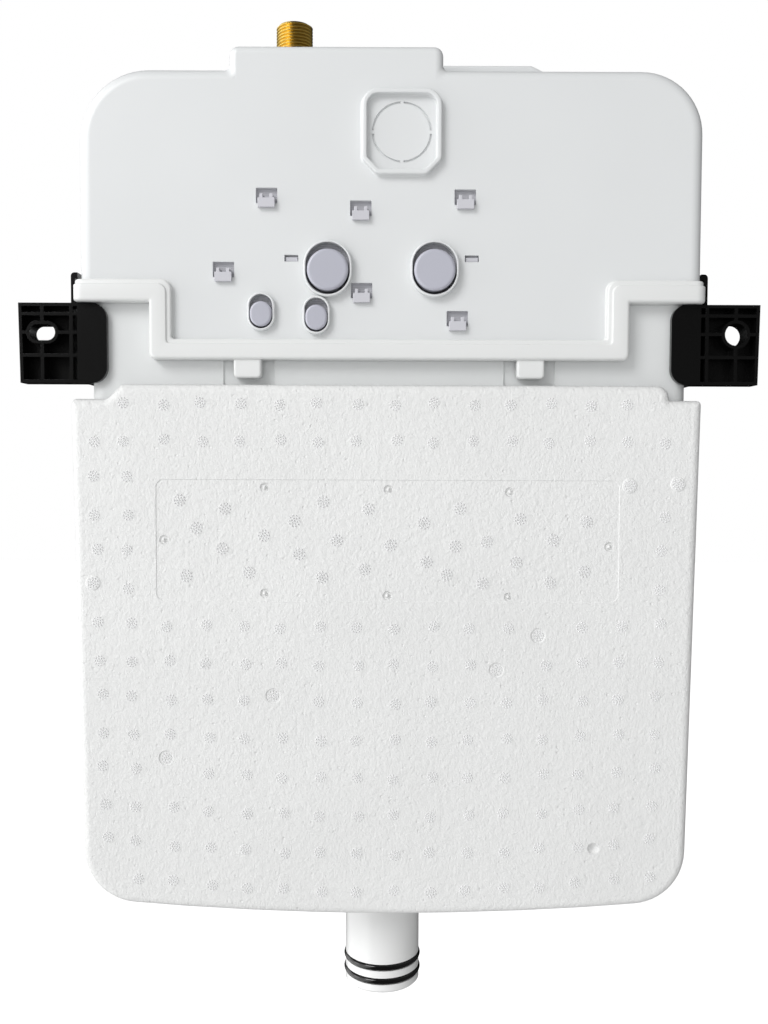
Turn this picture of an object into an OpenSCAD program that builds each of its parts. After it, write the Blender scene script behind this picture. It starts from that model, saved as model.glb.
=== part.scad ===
// Slim concealed toilet cistern: tank, stepped cover, foam shell, wall brackets, dual-flush push pads,
// flush valve and fill valve. Millimetres, +X to the right seen from the room, +Z up, +Y into the wall.
// The origin lies on the wall plane behind the tank, mid width, level with the bracket holes.

/* [Tank] */
// Outside width of the tank at its rim
tank_w = 328; // [310:1:340]
// How far the tank's body is set in from that width on each side
body_inset = 7; // [6:0.5:10]
// Outside size of the tank from the wall to its front face
tank_depth = 86; // [80:1:94]
// Wall of the moulded tank
tank_wall = 3; // [2.5:0.1:3.5]
// Height of the side rim above the bracket holes
rim_z = 20; // [19:0.5:22]
// Depth of the underside of the floor below the bracket holes
floor_drop = 307; // [290:1:330]
// Bottom corner radius seen from the front
tank_corner_r = 24; // [18:1:30]
// Radius of the long edges round the front and back faces
tank_edge_r = 7; // [5:0.5:9]
// Distance of the step in the front wall from the tank's sides
notch_side = 37.5; // [36:0.5:42]
// Depth of that step below the rim
notch_drop = 31; // [29:0.5:34]
// Width of the shallow clip channels in the front wall
channel_w = 28; // [20:1:34]
// Distance of each clip channel from the middle
channel_x = 77; // [60:1:90]
// Depth of the clip channels
channel_cut = 1; // [0.5:0.1:1.4]
// Length of the clip channels below the step
channel_h = 60; // [30:1:90]

/* [Cover] */
// How far the cover stands out past the tank on each side
cover_over = 6.5; // [5.5:0.5:8]
// How far the cover's face stands in front of the tank's face
cover_proud = 4; // [3:0.5:6]
// Wall of the moulded cover
cover_wall = 3; // [2.6:0.1:3.2]
// Height of the shoulders above the bracket holes
shoulder_z = 143; // [130:1:160]
// Top corner radius seen from the front
cover_corner_r = 34; // [20:1:45]
// Radius of the soft edges round the cover's faces
cover_edge_r = 9; // [6:0.5:12]
// Left side of the raised inlet housing
housing_left = 87; // [80:1:100]
// Right side of the raised inlet housing
housing_right = 28.8; // [20:0.1:40]
// Rise of the inlet housing above the shoulders
housing_rise = 11.2; // [8:0.1:20]
// Corner radius of the inlet housing
housing_r = 5; // [4:0.5:8]
// Length of the low ledge beside the housing
ledge_len = 59.6; // [30:0.1:80]
// Rise of the low ledge above the shoulders
ledge_rise = 9.2; // [3:0.1:10]

/* [Lip] */
// How far the lip stands out past the cover on each side
lip_side = 1.5; // [1:0.5:4]
// How far the lip's face stands in front of the cover's face
lip_proud = 5; // [4:0.5:7]
// How far the lip laps down over the tank
lip_under = 3.6; // [3:0.1:5]
// How far the lip reaches up the cover
lip_over = 8.4; // [7:0.1:10]
// Width of the lower band along the lip's inner edge
lip_band_w = 2.8; // [1.5:0.1:4]
// Step between that band and the lip's face
lip_band_step = 2; // [1:0.1:3]
// Corner radius of the lip
lip_r = 5; // [3:0.5:6]
// Thickness of the rubber seal in the seam
seam_seal_t = 1.5; // [1:0.1:2]
// Thickness of the inner shelf that presses on the seal
shelf_t = 3; // [2:0.1:4]
// Width of each clip tab
tab_w = 15; // [10:0.5:20]
// Length of each clip tab below the lip
tab_h = 10; // [6:0.5:16]

/* [Cover openings] */
// Place of the full-flush pad, left of the middle
full_pad_x = -33.4; // [-36:0.1:-31]
// Place of the half-flush pad, right of the middle
half_pad_x = 24.5; // [22:0.1:28]
// Height of both flush pads
pad_z = 33.6; // [33:0.1:36]
// Diameter of a flush pad
pad_d = 22.5; // [21:0.1:23]
// Play of each pad in its guide
pad_play = 0.35; // [0.3:0.05:0.5]
// Upright slack of the collar holes above the pads
collar_slack = 4; // [2:0.1:5]
// How far each collar's opening is lowered about its pad
collar_drop = 1.2; // [0:0.1:1.6]
// How far each pad stands out of its collar
pad_proud = 1.2; // [0:0.1:2]
// Rim thickness of the pad collars
collar_rim = 1.2; // [0.8:0.1:2]
// Height of the pad collars above the cover's face
collar_h = 4.5; // [3:0.1:6]
// Width of a release pad
release_w = 11.8; // [10:0.1:12.5]
// Height of a release pad
release_h = 13.6; // [12.6:0.1:15]
// Place of the left release pad
release_left_x = -69.6; // [-72:0.1:-68]
// Height of the left release pad
release_left_z = 9.9; // [9:0.1:12]
// Place of the right release pad
release_right_x = -39.6; // [-42:0.1:-38]
// Height of the right release pad
release_right_z = 8.1; // [8:0.1:9.5]
// Width of a hook window
window_w = 11.6; // [11:0.1:13]
// Height of a hook window
window_h = 8.3; // [8:0.1:9]
// Width of a lock slot
slot_w = 7.6; // [6:0.1:9]
// Height of a lock slot
slot_h = 3.6; // [3:0.1:5]
// Middle of the knock-out frame across the cover
knock_x = 6.5; // [0:0.5:15]
// Height of the knock-out frame's middle
knock_z = 107.5; // [100:0.5:112]
// Width of the knock-out frame
knock_w = 43; // [36:0.5:50]
// Height of the knock-out frame
knock_h = 45.5; // [38:0.5:52]
// Corner cut of the knock-out frame
knock_cut = 8; // [4:0.5:12]
// Rim thickness of the knock-out frame
knock_rim = 2.6; // [1.5:0.1:4]
// Height of the knock-out frame above the cover's face
knock_rise = 4; // [2:0.5:6]
// Diameter of the scored knock-out disc
knock_d = 32; // [20:0.5:34]
// Width of the scored ring
score_w = 0.9; // [0.5:0.1:1.5]

/* [Foam shell] */
// How far the foam stands out past the tank's rim on each side
foam_side = 6.3; // [4.5:0.1:8]
// Shift of the foam shell across the tank
foam_x = -1.5; // [-1.5:0.1:1.5]
// How much each side of the foam draws in from top to bottom
foam_draft = 5.3; // [0:0.1:6]
// How far the foam's face stands in front of the tank's face
foam_proud = 14; // [11:0.5:20]
// Distance of the foam's rear edge from the wall
foam_back = 30; // [20:1:50]
// Depth of the foam's top edge below the bracket holes
foam_top_drop = 28.5; // [28.5:0.5:34]
// Drop from the top edge to the shoulders
foam_shoulder = 8; // [4:0.5:12]
// Distance of the raised middle of the top edge from the tank's sides
foam_top_in = 19; // [17:0.5:34]
// Thickness of the foam under the tank floor at its corners
foam_floor_t = 7; // [7:0.5:14]
// Extra depth of the bowed bottom edge in the middle
foam_bow = 5.5; // [0:0.5:8]
// Bottom corner radius of the foam
foam_corner_r = 30; // [26:1:36]
// Soft edge radius of the foam
foam_edge_r = 6; // [3:0.5:8]

/* [Brackets] */
// Distance of each bracket hole outside the tank's side
hole_out = 25.2; // [24:0.1:27]
// Outer edge of each ear outside the tank's side
ear_out = 38.2; // [37.5:0.1:42]
// Height of the bracket above its hole
bracket_up = 16; // [14:0.5:16]
// Height of the bracket below its hole
bracket_down = 27.5; // [22:0.5:28]
// Depth of the ribbed ear
ear_depth = 12; // [10:0.5:14]
// How far the flat front plate laps onto the tank
plate_lap = 10; // [6:0.5:14]
// Corner radius of the flat front plate
plate_r = 8.5; // [4:0.5:12]
// Thickness of the flat front plate
plate_t = 3.5; // [2.5:0.1:3.6]
// Thickness of the ribs and rims
rib_t = 1.8; // [1.2:0.1:2.4]
// Length of the slotted hole in the left ear
slot_len = 14; // [11:0.5:16]
// Width of the slotted hole in the left ear
slot_d = 8.7; // [6:0.1:10]
// Diameter of the round hole in the right ear
hole_d = 12; // [8:0.5:13]
// Thickness of the hook arm over the lip
hook_t = 2; // [1.6:0.1:2.6]

/* [Water inlet] */
// Place of the inlet across the cistern
inlet_x = -55.2; // [-58:0.1:-54]
// How far the inlet and outlet axes lie in front of the tank's middle
axis_shift = 2; // [1.5:0.1:2.5]
// Diameter over the inlet thread
inlet_d = 20.955; // [16:0.005:26]
// Bore of the inlet nipple
inlet_bore = 12; // [8:0.5:14]
// Height of the nipple above the housing
inlet_rise = 27.3; // [20:0.1:35]
// Height of the hexagon lock nut
inlet_nut_h = 7; // [5:0.5:8]
// Width across the flats of the lock nut
inlet_nut_af = 27; // [25:0.5:30]

/* [Flush outlet] */
// Place of the outlet across the cistern
outlet_x = -2.7; // [-4:0.1:2]
// Outside diameter of the flush pipe
pipe_d = 44; // [40:0.5:46]
// Wall of the flush pipe
pipe_wall = 4.5; // [4:0.1:5.5]
// Depth of the pipe's end below the bracket holes
pipe_drop = 380.5; // [370:0.5:400]
// Section of the O-rings
ring_t = 3.6; // [3:0.1:4]
// How far the O-rings stand out of the pipe
ring_proud = 0.8; // [0.5:0.1:1]
// Spacing of the two O-rings
ring_pitch = 8.2; // [7:0.1:10]
// Distance of the lower O-ring from the pipe's end
ring_end = 6.8; // [5:0.1:9]

/* [Mechanism] */
// Travel of a flush pad
pad_travel = 9; // [7:0.5:9]
// Travel of a release pad
release_travel = 5; // [4:0.5:5]
// Height of the rocker pivot above the flush pads
pivot_rise = 20; // [20:0.5:24]
// Distance of the rocker pivot behind the cover's face
pivot_back = 28; // [27:0.5:29]
// Diameter of the rocker axle
axle_d = 4; // [3:0.1:5]
// Diameter of a flush pad's stem
stem_d = 8; // [7:0.5:9]
// Height of the overflow level below the bracket holes
overflow_drop = 8; // [6:0.5:20]
// Outside diameter of the overflow tube
overflow_d = 28; // [24:0.5:30]
// Room left before and behind the flush valve cage in the tank's depth
cage_room = 10; // [10:0.5:13]
// Travel of the fill float
float_travel = 10; // [8:0.5:10]
// Length of the float lever from its pin to the float post
lever_len = 22; // [20:0.5:24]

/* [Hidden] */
$fn = 72;

// Gap between pieces that are moulded apart and slide or seat together
gap = 0.3;
// Radial clearance of a shaft in its hole
run = 0.05;
// Rest gap between a rounded tip and the lever it works
tip_gap = 0.6;
// Margin by which a cut runs past a face
past = 1;
// Size of a cut that has to clear the whole cistern
far = 600;

white = [0.93, 0.94, 0.94];
foam_white = [0.95, 0.95, 0.94];
lilac = [0.72, 0.72, 0.77];
black = [0.08, 0.08, 0.08];
brass = [0.75, 0.58, 0.25];
rubber = [0.12, 0.12, 0.13];
steel = [0.72, 0.73, 0.75];
natural = [0.85, 0.86, 0.86];

body_w = tank_w - 2 * body_inset;
notch_w = tank_w - 2 * notch_side;
cover_w = tank_w + 2 * cover_over;
cover_front = tank_depth + cover_proud;
lip_w = cover_w + 2 * lip_side;
lip_front = cover_front + lip_proud;
foam_w = tank_w + 2 * foam_side;
foam_front = tank_depth + foam_proud;
foam_top_half = tank_w / 2 - foam_top_in;
hole_x = tank_w / 2 + hole_out;
ear_x = tank_w / 2 + ear_out;
plate_x = tank_w / 2 - plate_lap;
axis_f = tank_depth / 2 + axis_shift;
pivot_f = cover_front - pivot_back;
cage_d = tank_depth - 2 * cage_room;
pipe_bore = pipe_d - 2 * pipe_wall;
notch_z = rim_z - notch_drop;
housing_z = shoulder_z + housing_rise;
cover_in = cover_front - cover_wall;
tank_in = tank_depth - tank_wall;
floor_z = -floor_drop;
floor_in = floor_z + tank_wall;

// Direction of the line from p to q
function heading(p, q) = atan2(q.y - p.y, q.x - p.x);

// Turns a shape drawn in the front view so that its thickness runs from the wall to the room
module face_on() {
  rotate([90, 0, 0]) children();
}

// Box in the room's terms: x and z spans, and f spans counted from the wall
module box(x0, x1, f0, f1, z0, z1) {
  translate([x0, -f1, z0]) cube([x1 - x0, f1 - f0, z1 - z0]);
}

// Upright cylinder or tube at x, f between two heights
module pillar(x, f, z0, z1, r) {
  translate([x, -f, z0]) cylinder(h = z1 - z0, r = r);
}

// Cylinder running from the wall to the room between two f planes
module peg(x, z, f0, f1, r) {
  translate([x, -f0, z]) rotate([90, 0, 0]) cylinder(h = f1 - f0, r = r);
}

// Cylinder across the cistern
module crossbar(x0, x1, f, z, r) {
  translate([x0, -f, z]) rotate([0, 90, 0]) cylinder(h = x1 - x0, r = r);
}

// Square fillet left over between a corner and its rounding circle
module corner_fill(r) {
  difference() {
    square(r);
    translate([r, r]) circle(r);
  }
}

// Upright round-ended outline
module obround(w, h) {
  square([w, h - w], center = true);
  for (s = [-1, 1]) translate([0, s * (h - w) / 2]) circle(w / 2);
}

// Rectangle with four round corners
module soft_rect(x0, x1, y0, y1, r) {
  translate([x0 + r, y0]) square([x1 - x0 - 2 * r, y1 - y0]);
  translate([x0, y0 + r]) square([x1 - x0, y1 - y0 - 2 * r]);
  for (x = [x0 + r, x1 - r]) {
    for (y = [y0 + r, y1 - r]) translate([x, y]) circle(r);
  }
}

// Cut through the thickness of a slab from just inside its corner centres out to its rounded edges
module slab_section(reach, depth, edge_r, inside) {
  translate([-inside, edge_r]) square([reach + inside, depth - 2 * edge_r]);
  translate([-inside, 0]) square([reach - edge_r + inside, depth]);
  for (y = [edge_r, depth - edge_r]) translate([reach - edge_r, y]) intersection() {
    circle(edge_r);
    translate([0, -edge_r]) square([edge_r, 2 * edge_r]);
  }
}

// Slab with soft edges: the polygon of its corner centres, grown by reach, seen from the front
module soft_slab(centres, reach, depth, edge_r) {
  count = len(centres);
  linear_extrude(depth) polygon(centres);
  for (i = [0:count - 1]) {
    p = centres[i];
    q = centres[(i + 1) % count];
    next = centres[(i + 2) % count];
    way = heading(p, q);
    bend = (heading(q, next) - way + 360) % 360;
    translate(q) rotate(way) rotate([90, 0, -90]) linear_extrude(norm(q - p)) {
      slab_section(reach, depth, edge_r, past);
    }
    translate(q) rotate(way - 90) rotate_extrude(angle = bend) slab_section(reach, depth, edge_r, 0);
  }
}

// Everything above the stepped seam, raised by off: the rim all round, the step only in the front wall
module above_seam(off) {
  box(-far, far, -far, far, rim_z + off, far);
  half = notch_w / 2 - off;
  box(-half, half, tank_in - past, far, notch_z + off, far);
}

// Front outline of everything above the stepped seam, raised by off
module apron(off) {
  half = notch_w / 2 - off;
  translate([-far, rim_z + off]) square([2 * far, far]);
  translate([-half, notch_z + off]) square([2 * half, far]);
}

foam_low_z = floor_z - foam_floor_t;
foam_top_z = -foam_top_drop;
foam_shoulder_z = foam_top_z - foam_shoulder;
foam_gap = 0.4;

tank_top_z = rim_z + tank_corner_r + past;
body_x = body_w / 2 - tank_corner_r;
body_centres = [
  [-body_x, floor_z + tank_corner_r],
  [body_x, floor_z + tank_corner_r],
  [body_x, tank_top_z],
  [-body_x, tank_top_z]
];
band_r = tank_edge_r + past;
band_x = tank_w / 2 - band_r;
band_sink = 12;
band_z = foam_shoulder_z - band_sink + band_r;
band_centres = [[-band_x, band_z], [band_x, band_z], [band_x, tank_top_z], [-band_x, tank_top_z]];

// Tank outline with its skin moved in by skin: the body, and the wider band below the rim
module tank_slab(skin) {
  depth = tank_depth - 2 * skin;
  translate([0, -skin, 0]) face_on() {
    soft_slab(body_centres, tank_corner_r - skin, depth, tank_edge_r - skin);
    soft_slab(band_centres, band_r - skin, depth, tank_edge_r - skin);
  }
}

module tank_walls() {
  difference() {
    tank_slab(0);
    tank_slab(tank_wall);
  }
}

tail_wall = 4;
tail_d = pipe_d + 2 * tail_wall;
tail_play = 0.5;
channel_z = notch_z - channel_h;

module lower_tank() {
  color(white) difference() {
    tank_walls();
    above_seam(0);
    pillar(outlet_x, axis_f, floor_z - past, floor_in + past, tail_d / 2 + tail_play);
    for (s = [-1, 1]) {
      translate([s * channel_x, 0, 0]) {
        box(-channel_w / 2, channel_w / 2, tank_depth - channel_cut, tank_depth + past, channel_z, rim_z);
      }
    }
  }
}

// Rubber strip that lies along the tank's stepped rim
module seam_seal() {
  color(rubber) intersection() {
    tank_walls();
    difference() {
      above_seam(0);
      above_seam(seam_seal_t);
    }
  }
}

cover_low_z = notch_z - cover_corner_r;
cover_centres = [
  [-cover_w / 2 + cover_corner_r, cover_low_z],
  [cover_w / 2 - cover_corner_r, cover_low_z],
  [cover_w / 2 - cover_corner_r, shoulder_z - cover_corner_r],
  [-cover_w / 2 + cover_corner_r, shoulder_z - cover_corner_r]
];
housing_low_z = shoulder_z - cover_corner_r;
housing_centres = [
  [-housing_left + housing_r, housing_low_z],
  [housing_right - housing_r, housing_low_z],
  [housing_right - housing_r, housing_z - housing_r],
  [-housing_left + housing_r, housing_z - housing_r]
];
housing_edge_r = 4;

// Cover outline with its skin moved in by skin, inlet housing included
module cover_slab(skin) {
  translate([0, -skin, 0]) face_on() {
    soft_slab(cover_centres, cover_corner_r - skin, cover_front - 2 * skin, cover_edge_r - skin);
    soft_slab(housing_centres, housing_r - skin, cover_front - 2 * skin, housing_edge_r - skin);
  }
}

ledge_f0 = 18;
ledge_f1 = 62;
ledge_slope = 8;

// Low ledge on the right shoulder, with a sloped end
module shoulder_ledge() {
  top = shoulder_z + ledge_rise;
  root = shoulder_z - cover_wall;
  translate([0, -ledge_f0, 0]) face_on() linear_extrude(ledge_f1 - ledge_f0) polygon([
    [housing_right - cover_wall, root],
    [housing_right + ledge_len + ledge_slope, root],
    [housing_right + ledge_len, top],
    [housing_right - cover_wall, top]
  ]);
}

// Front view of the lip that runs along the stepped seam, drawn in by inset along its inner edge
module lip_outline(inset) {
  over = lip_over - inset;
  out_x = notch_w / 2 + lip_under;
  in_x = notch_w / 2 - over;
  difference() {
    intersection() {
      apron(-lip_under);
      translate([-lip_w / 2, notch_z - lip_under]) square([lip_w, notch_drop + lip_under + over]);
    }
    apron(over);
    for (s = [0, 1]) mirror([s, 0]) {
      translate([out_x, notch_z - lip_under]) mirror([1, 0]) corner_fill(lip_r - inset);
      translate([in_x, rim_z + over]) mirror([0, 1]) corner_fill(lip_r - inset);
    }
  }
}

lip_plan_r = 6;

// Plan outline that rounds the lip's front corners
module lip_plan() {
  translate([0, 0, notch_z - lip_under - past]) linear_extrude(notch_drop + lip_under + lip_over + 2 * past) {
    mirror([0, 1]) soft_rect(-lip_w / 2, lip_w / 2, -lip_front, lip_front, lip_plan_r);
  }
}

// Stepped lip: a rounded band on the front and plain skirts along both sides
module lip() {
  back = tank_depth + gap;
  side = tank_w / 2 + gap;
  intersection() {
    lip_plan();
    union() {
      translate([0, -back, 0]) face_on() {
        linear_extrude(lip_front - lip_band_step - back) lip_outline(0);
        linear_extrude(lip_front - back) lip_outline(lip_band_w);
      }
      for (s = [0, 1]) mirror([s, 0, 0]) {
        box(side, lip_w / 2, cover_edge_r, lip_front - lip_band_step, rim_z - lip_under, rim_z + lip_over);
      }
    }
  }
}

// Inner shelf that presses the seal onto the tank's rim
module shelf() {
  intersection() {
    difference() {
      cover_slab(cover_wall / 2);
      tank_slab(tank_wall);
    }
    difference() {
      above_seam(seam_seal_t);
      above_seam(seam_seal_t + shelf_t);
    }
  }
}

module clip_tabs() {
  low = notch_z - lip_under;
  for (s = [-1, 1]) translate([s * channel_x, 0, 0]) {
    box(-tab_w / 2, tab_w / 2, tank_depth + gap, lip_front - lip_band_step, low - tab_h, low + lip_under);
  }
}

// Octagon of the knock-out frame: cut corners, drawn in by inset
module knock_outline(inset) {
  w = knock_w / 2 - inset;
  h = knock_h / 2 - inset;
  c = knock_cut - inset * (2 - sqrt(2));
  polygon([[-w, -h + c], [-w + c, -h], [w - c, -h], [w, -h + c], [w, h - c], [w - c, h], [-w + c, h], [-w, h - c]]);
}

score_cut = 0.6;
bridge_w = 3;

// Frame round the knock-out disc
module knock_frame() {
  translate([knock_x, -cover_in - past, knock_z]) face_on() linear_extrude(cover_wall - past + knock_rise) {
    difference() {
      knock_outline(0);
      knock_outline(knock_rim);
    }
  }
}

// Ring scored round the knock-out disc, broken by four bridges
module knock_score() {
  translate([knock_x, -cover_front + score_cut, knock_z]) face_on() linear_extrude(past) difference() {
    circle(knock_d / 2);
    circle(knock_d / 2 - score_w);
    square([knock_d + past, bridge_w], center = true);
    square([bridge_w, knock_d + past], center = true);
  }
}

collar_hole_w = pad_d + 4 * pad_play;
release_hole_w = release_w + 2 * pad_play;
release_hole_h = release_h + 2 * pad_play + collar_slack;
release_collar_h = collar_h - 1;
collar_lift = collar_slack / 2 - collar_drop;
release_lift = collar_lift + 0.6;
release_places = [[release_left_x, release_left_z], [release_right_x, release_right_z]];
pad_places = [[full_pad_x, pad_z], [half_pad_x, pad_z]];

// Places the collar outlines: children 0 at the flush pads, children 1 at the release pads
module at_collars() {
  for (p = pad_places) translate([p.x, p.y + collar_lift]) children(0);
  for (p = release_places) translate([p.x, p.y + release_lift]) children(1);
}

module collar_holes() {
  at_collars() {
    obround(collar_hole_w, collar_hole_w + collar_slack);
    obround(release_hole_w, release_hole_h);
  }
}

module collars() {
  rim = 2 * collar_rim;
  translate([0, -cover_in - past, 0]) face_on() {
    linear_extrude(cover_wall - past + collar_h) {
      for (p = pad_places) translate([p.x, p.y + collar_lift]) {
        obround(collar_hole_w + rim, collar_hole_w + collar_slack + rim);
      }
    }
    linear_extrude(cover_wall - past + release_collar_h) {
      for (p = release_places) translate([p.x, p.y + release_lift]) {
        obround(release_hole_w + rim, release_hole_h + rim);
      }
    }
  }
}

// Middle and top edge of each hook window, in the front view
windows = [[-66.7, 78.1], [-15.6, 71.4], [41, 77.5], [-90.2, 38.3], [-15.1, 27.2], [37.1, 12.2]];
// Middle of each lock slot, in the front view
slots = [[-53.3, 40.4], [44.8, 40.4]];

module window_holes() {
  for (w = windows) translate([w.x - window_w / 2, w.y - window_h]) square([window_w, window_h]);
  for (s = slots) translate([s.x - slot_w / 2, s.y - slot_h / 2]) square([slot_w, slot_h]);
}

// Hood over the tank, moulded with its stepped lip, collars, windows and knock-out frame
module top_cover() {
  color(white) difference() {
    union() {
      intersection() {
        difference() {
          union() {
            cover_slab(0);
            shoulder_ledge();
          }
          cover_slab(cover_wall);
        }
        above_seam(seam_seal_t);
      }
      shelf();
      lip();
      clip_tabs();
      collars();
      knock_frame();
    }
    knock_score();
    translate([0, -cover_in + past, 0]) face_on() linear_extrude(cover_wall + collar_h + 2 * past) {
      collar_holes();
      window_holes();
    }
    pillar(inlet_x, axis_f, housing_z - cover_wall - past, housing_z + past, inlet_d / 2 + gap);
  }
}

// Half width of the foam shell at a height
function foam_side_x(z) = foam_w / 2 - foam_draft * (foam_shoulder_z - z) / (foam_shoulder_z - foam_low_z);

foam_cut_z = foam_top_z + foam_corner_r + past;
foam_run = foam_side_x(foam_low_z) - foam_corner_r;
nut_wall = 7;
lobe_r = 3;
nut_room = 4;
foam_throat = tail_d / 2 + nut_wall + lobe_r + nut_room;

// Front outline of the foam: a raised middle with sloped ends and lower shoulders
module foam_outline() {
  translate([-far, -far]) square([2 * far, far + foam_shoulder_z]);
  translate([foam_x, 0]) polygon([
    [-foam_top_half - foam_shoulder, foam_shoulder_z - past],
    [foam_top_half + foam_shoulder, foam_shoulder_z - past],
    [foam_top_half + foam_shoulder, foam_shoulder_z],
    [foam_top_half, foam_top_z],
    [-foam_top_half, foam_top_z],
    [-foam_top_half - foam_shoulder, foam_shoulder_z]
  ]);
}

// Round disc of the foam's depth with a soft front edge
module foam_disc(x, z, r) {
  translate([x, 0, z]) face_on() rotate_extrude($fn = 48) {
    square([r - foam_edge_r, foam_front]);
    square([r, foam_front - foam_edge_r]);
    translate([r - foam_edge_r, foam_front - foam_edge_r]) intersection() {
      circle(foam_edge_r, $fn = 24);
      square(foam_edge_r);
    }
  }
}

// Solid block of the foam's outer form: drafted sides and a bottom edge that bows down to the middle
module foam_block() {
  top_r = foam_edge_r + past;
  hull() {
    foam_disc(foam_x, foam_low_z + foam_corner_r - foam_bow, foam_corner_r);
    for (s = [-1, 1]) {
      foam_disc(foam_x + s * foam_run, foam_low_z + foam_corner_r, foam_corner_r);
      foam_disc(foam_x + s * 0.6 * foam_run, foam_low_z + foam_corner_r - 0.64 * foam_bow, foam_corner_r);
      foam_disc(foam_x + s * (foam_side_x(foam_cut_z) - top_r), foam_cut_z, top_r);
    }
  }
}

// Expanded-foam tray round the front, sides and floor of the tank, slotted for the outlet
module foam_shell() {
  color(foam_white) intersection() {
    difference() {
      foam_block();
      tank_slab(-foam_gap);
      box(-far, far, -far, foam_back, -far, far);
      pillar(outlet_x, axis_f, foam_low_z - far, floor_z, foam_throat);
      box(outlet_x - foam_throat, outlet_x + foam_throat, 0, axis_f, foam_low_z - far, floor_z);
    }
    face_on() linear_extrude(foam_front + past) foam_outline();
  }
}

ear_f1 = tank_depth + foam_gap + plate_t;
ear_f0 = ear_f1 - ear_depth;
ear_base_t = 2.5;
leg_t = 3;
leg_run = 32;
leg_f0 = ear_f0 - leg_run;
leg_x0 = tank_w / 2 + foam_gap;
leg_x1 = leg_x0 + leg_t;
plate_out = 2.6;
plate_x1 = leg_x1 + plate_out;
slit_w = 2.5;
ear_x0 = plate_x1 + slit_w;
ear_draft = 0.8;
rib_z = [10, 0, -12.5];
boss_t = 1.8;
hook_clear = 0.5;
hook_x0 = lip_w / 2 + hook_clear;
hook_run = 8;
hook_rise = 1.5;
hook_z = rim_z + lip_over + hook_rise;
hook_bar_t = 3.2;

// Front outline of the ribbed ear, its outer side slightly drafted
module ear_outline(x0, inset) {
  polygon([
    [x0 + inset, -bracket_down + inset],
    [ear_x - ear_draft - inset, -bracket_down + inset],
    [ear_x - inset, bracket_up - inset],
    [x0 + inset, bracket_up - inset]
  ]);
}

// Walls of the ear seen from the front: rims, three cross ribs and one upright rib
module ear_ribs() {
  difference() {
    ear_outline(leg_x1, 0);
    ear_outline(leg_x1, rib_t);
  }
  intersection() {
    ear_outline(leg_x1, 0);
    union() {
      for (z = rib_z) translate([leg_x1, z - rib_t / 2]) square([ear_x, rib_t]);
      translate([hole_x - rib_t / 2, -bracket_down]) square([rib_t, bracket_down + bracket_up]);
    }
  }
}

// Flat plate that laps the tank's front, its inner corners round
module lap_plate() {
  intersection() {
    soft_rect(plate_x, plate_x1 + 2 * plate_r, -bracket_down, bracket_up, plate_r);
    translate([plate_x, -bracket_down]) square([plate_x1 - plate_x, bracket_down + bracket_up]);
  }
}

// Arm that rises outside the lip and hooks over its top edge
module hook_arm() {
  top = hook_z + hook_bar_t;
  translate([0, -ear_f0, 0]) face_on() linear_extrude(hook_run) {
    difference() {
      union() {
        translate([hook_x0, bracket_up - rib_t]) square([hook_t, top - bracket_up + rib_t]);
        translate([cover_w / 2 + foam_gap, hook_z]) square([hook_x0 + hook_t - cover_w / 2 - foam_gap, hook_bar_t]);
      }
      translate([hook_x0 + hook_t, top]) rotate(180) corner_fill(hook_t);
    }
  }
}

// Right-hand bracket; children are the fixing hole seen from the front, slit opens the base beside the plate
module bracket(boss_grow, slit) {
  color(black) difference() {
    union() {
      translate([0, -ear_f0, 0]) face_on() {
        linear_extrude(ear_base_t) ear_outline(leg_x1, 0);
        linear_extrude(ear_depth) {
          ear_ribs();
          translate([ear_x0, -bracket_down]) square([rib_t, bracket_down + bracket_up]);
          children(0);
        }
      }
      translate([0, -ear_f1 + plate_t, 0]) face_on() linear_extrude(plate_t) lap_plate();
      box(leg_x0, leg_x1, leg_f0, ear_f1, -bracket_down, bracket_up);
      hook_arm();
    }
    translate([0, -ear_f0 + past, 0]) face_on() linear_extrude(ear_depth + 2 * past) children(1);
    if (slit) {
      for (i = [0:len(rib_z)]) {
        top = i == 0 ? bracket_up - rib_t : rib_z[i - 1] - rib_t / 2;
        low = i == len(rib_z) ? -bracket_down + rib_t : rib_z[i] + rib_t / 2;
        box(plate_x1, ear_x0, ear_f0 - past, ear_f1 + past, low, top);
      }
    }
  }
}

// Left bracket, with a slotted fixing hole for levelling
module bracket_left() {
  mirror([1, 0, 0]) bracket(boss_t, true) {
    translate([hole_x, 0]) rotate(90) obround(slot_d + 2 * boss_t, slot_len + 2 * boss_t);
    translate([hole_x, 0]) rotate(90) obround(slot_d, slot_len);
  }
}

// Right bracket, with a round fixing hole
module bracket_right() {
  bracket(boss_t, false) {
    translate([hole_x, 0]) circle(hole_d / 2 + boss_t);
    translate([hole_x, 0]) circle(hole_d / 2);
  }
}

inlet_top = housing_z + inlet_rise;
housing_in = housing_z - cover_wall;
inlet_seal_t = 2;
inlet_flange_t = 3;
inlet_flange_z = housing_in - inlet_seal_t - inlet_flange_t;
inlet_flange_r = inlet_d / 2 + 4.5;
inlet_tail = 10;
inlet_tail_r = inlet_bore / 2 + 2.2;
inlet_chamfer = 1;
inlet_relief = 2;
relief_z = housing_z + inlet_nut_h;

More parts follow.
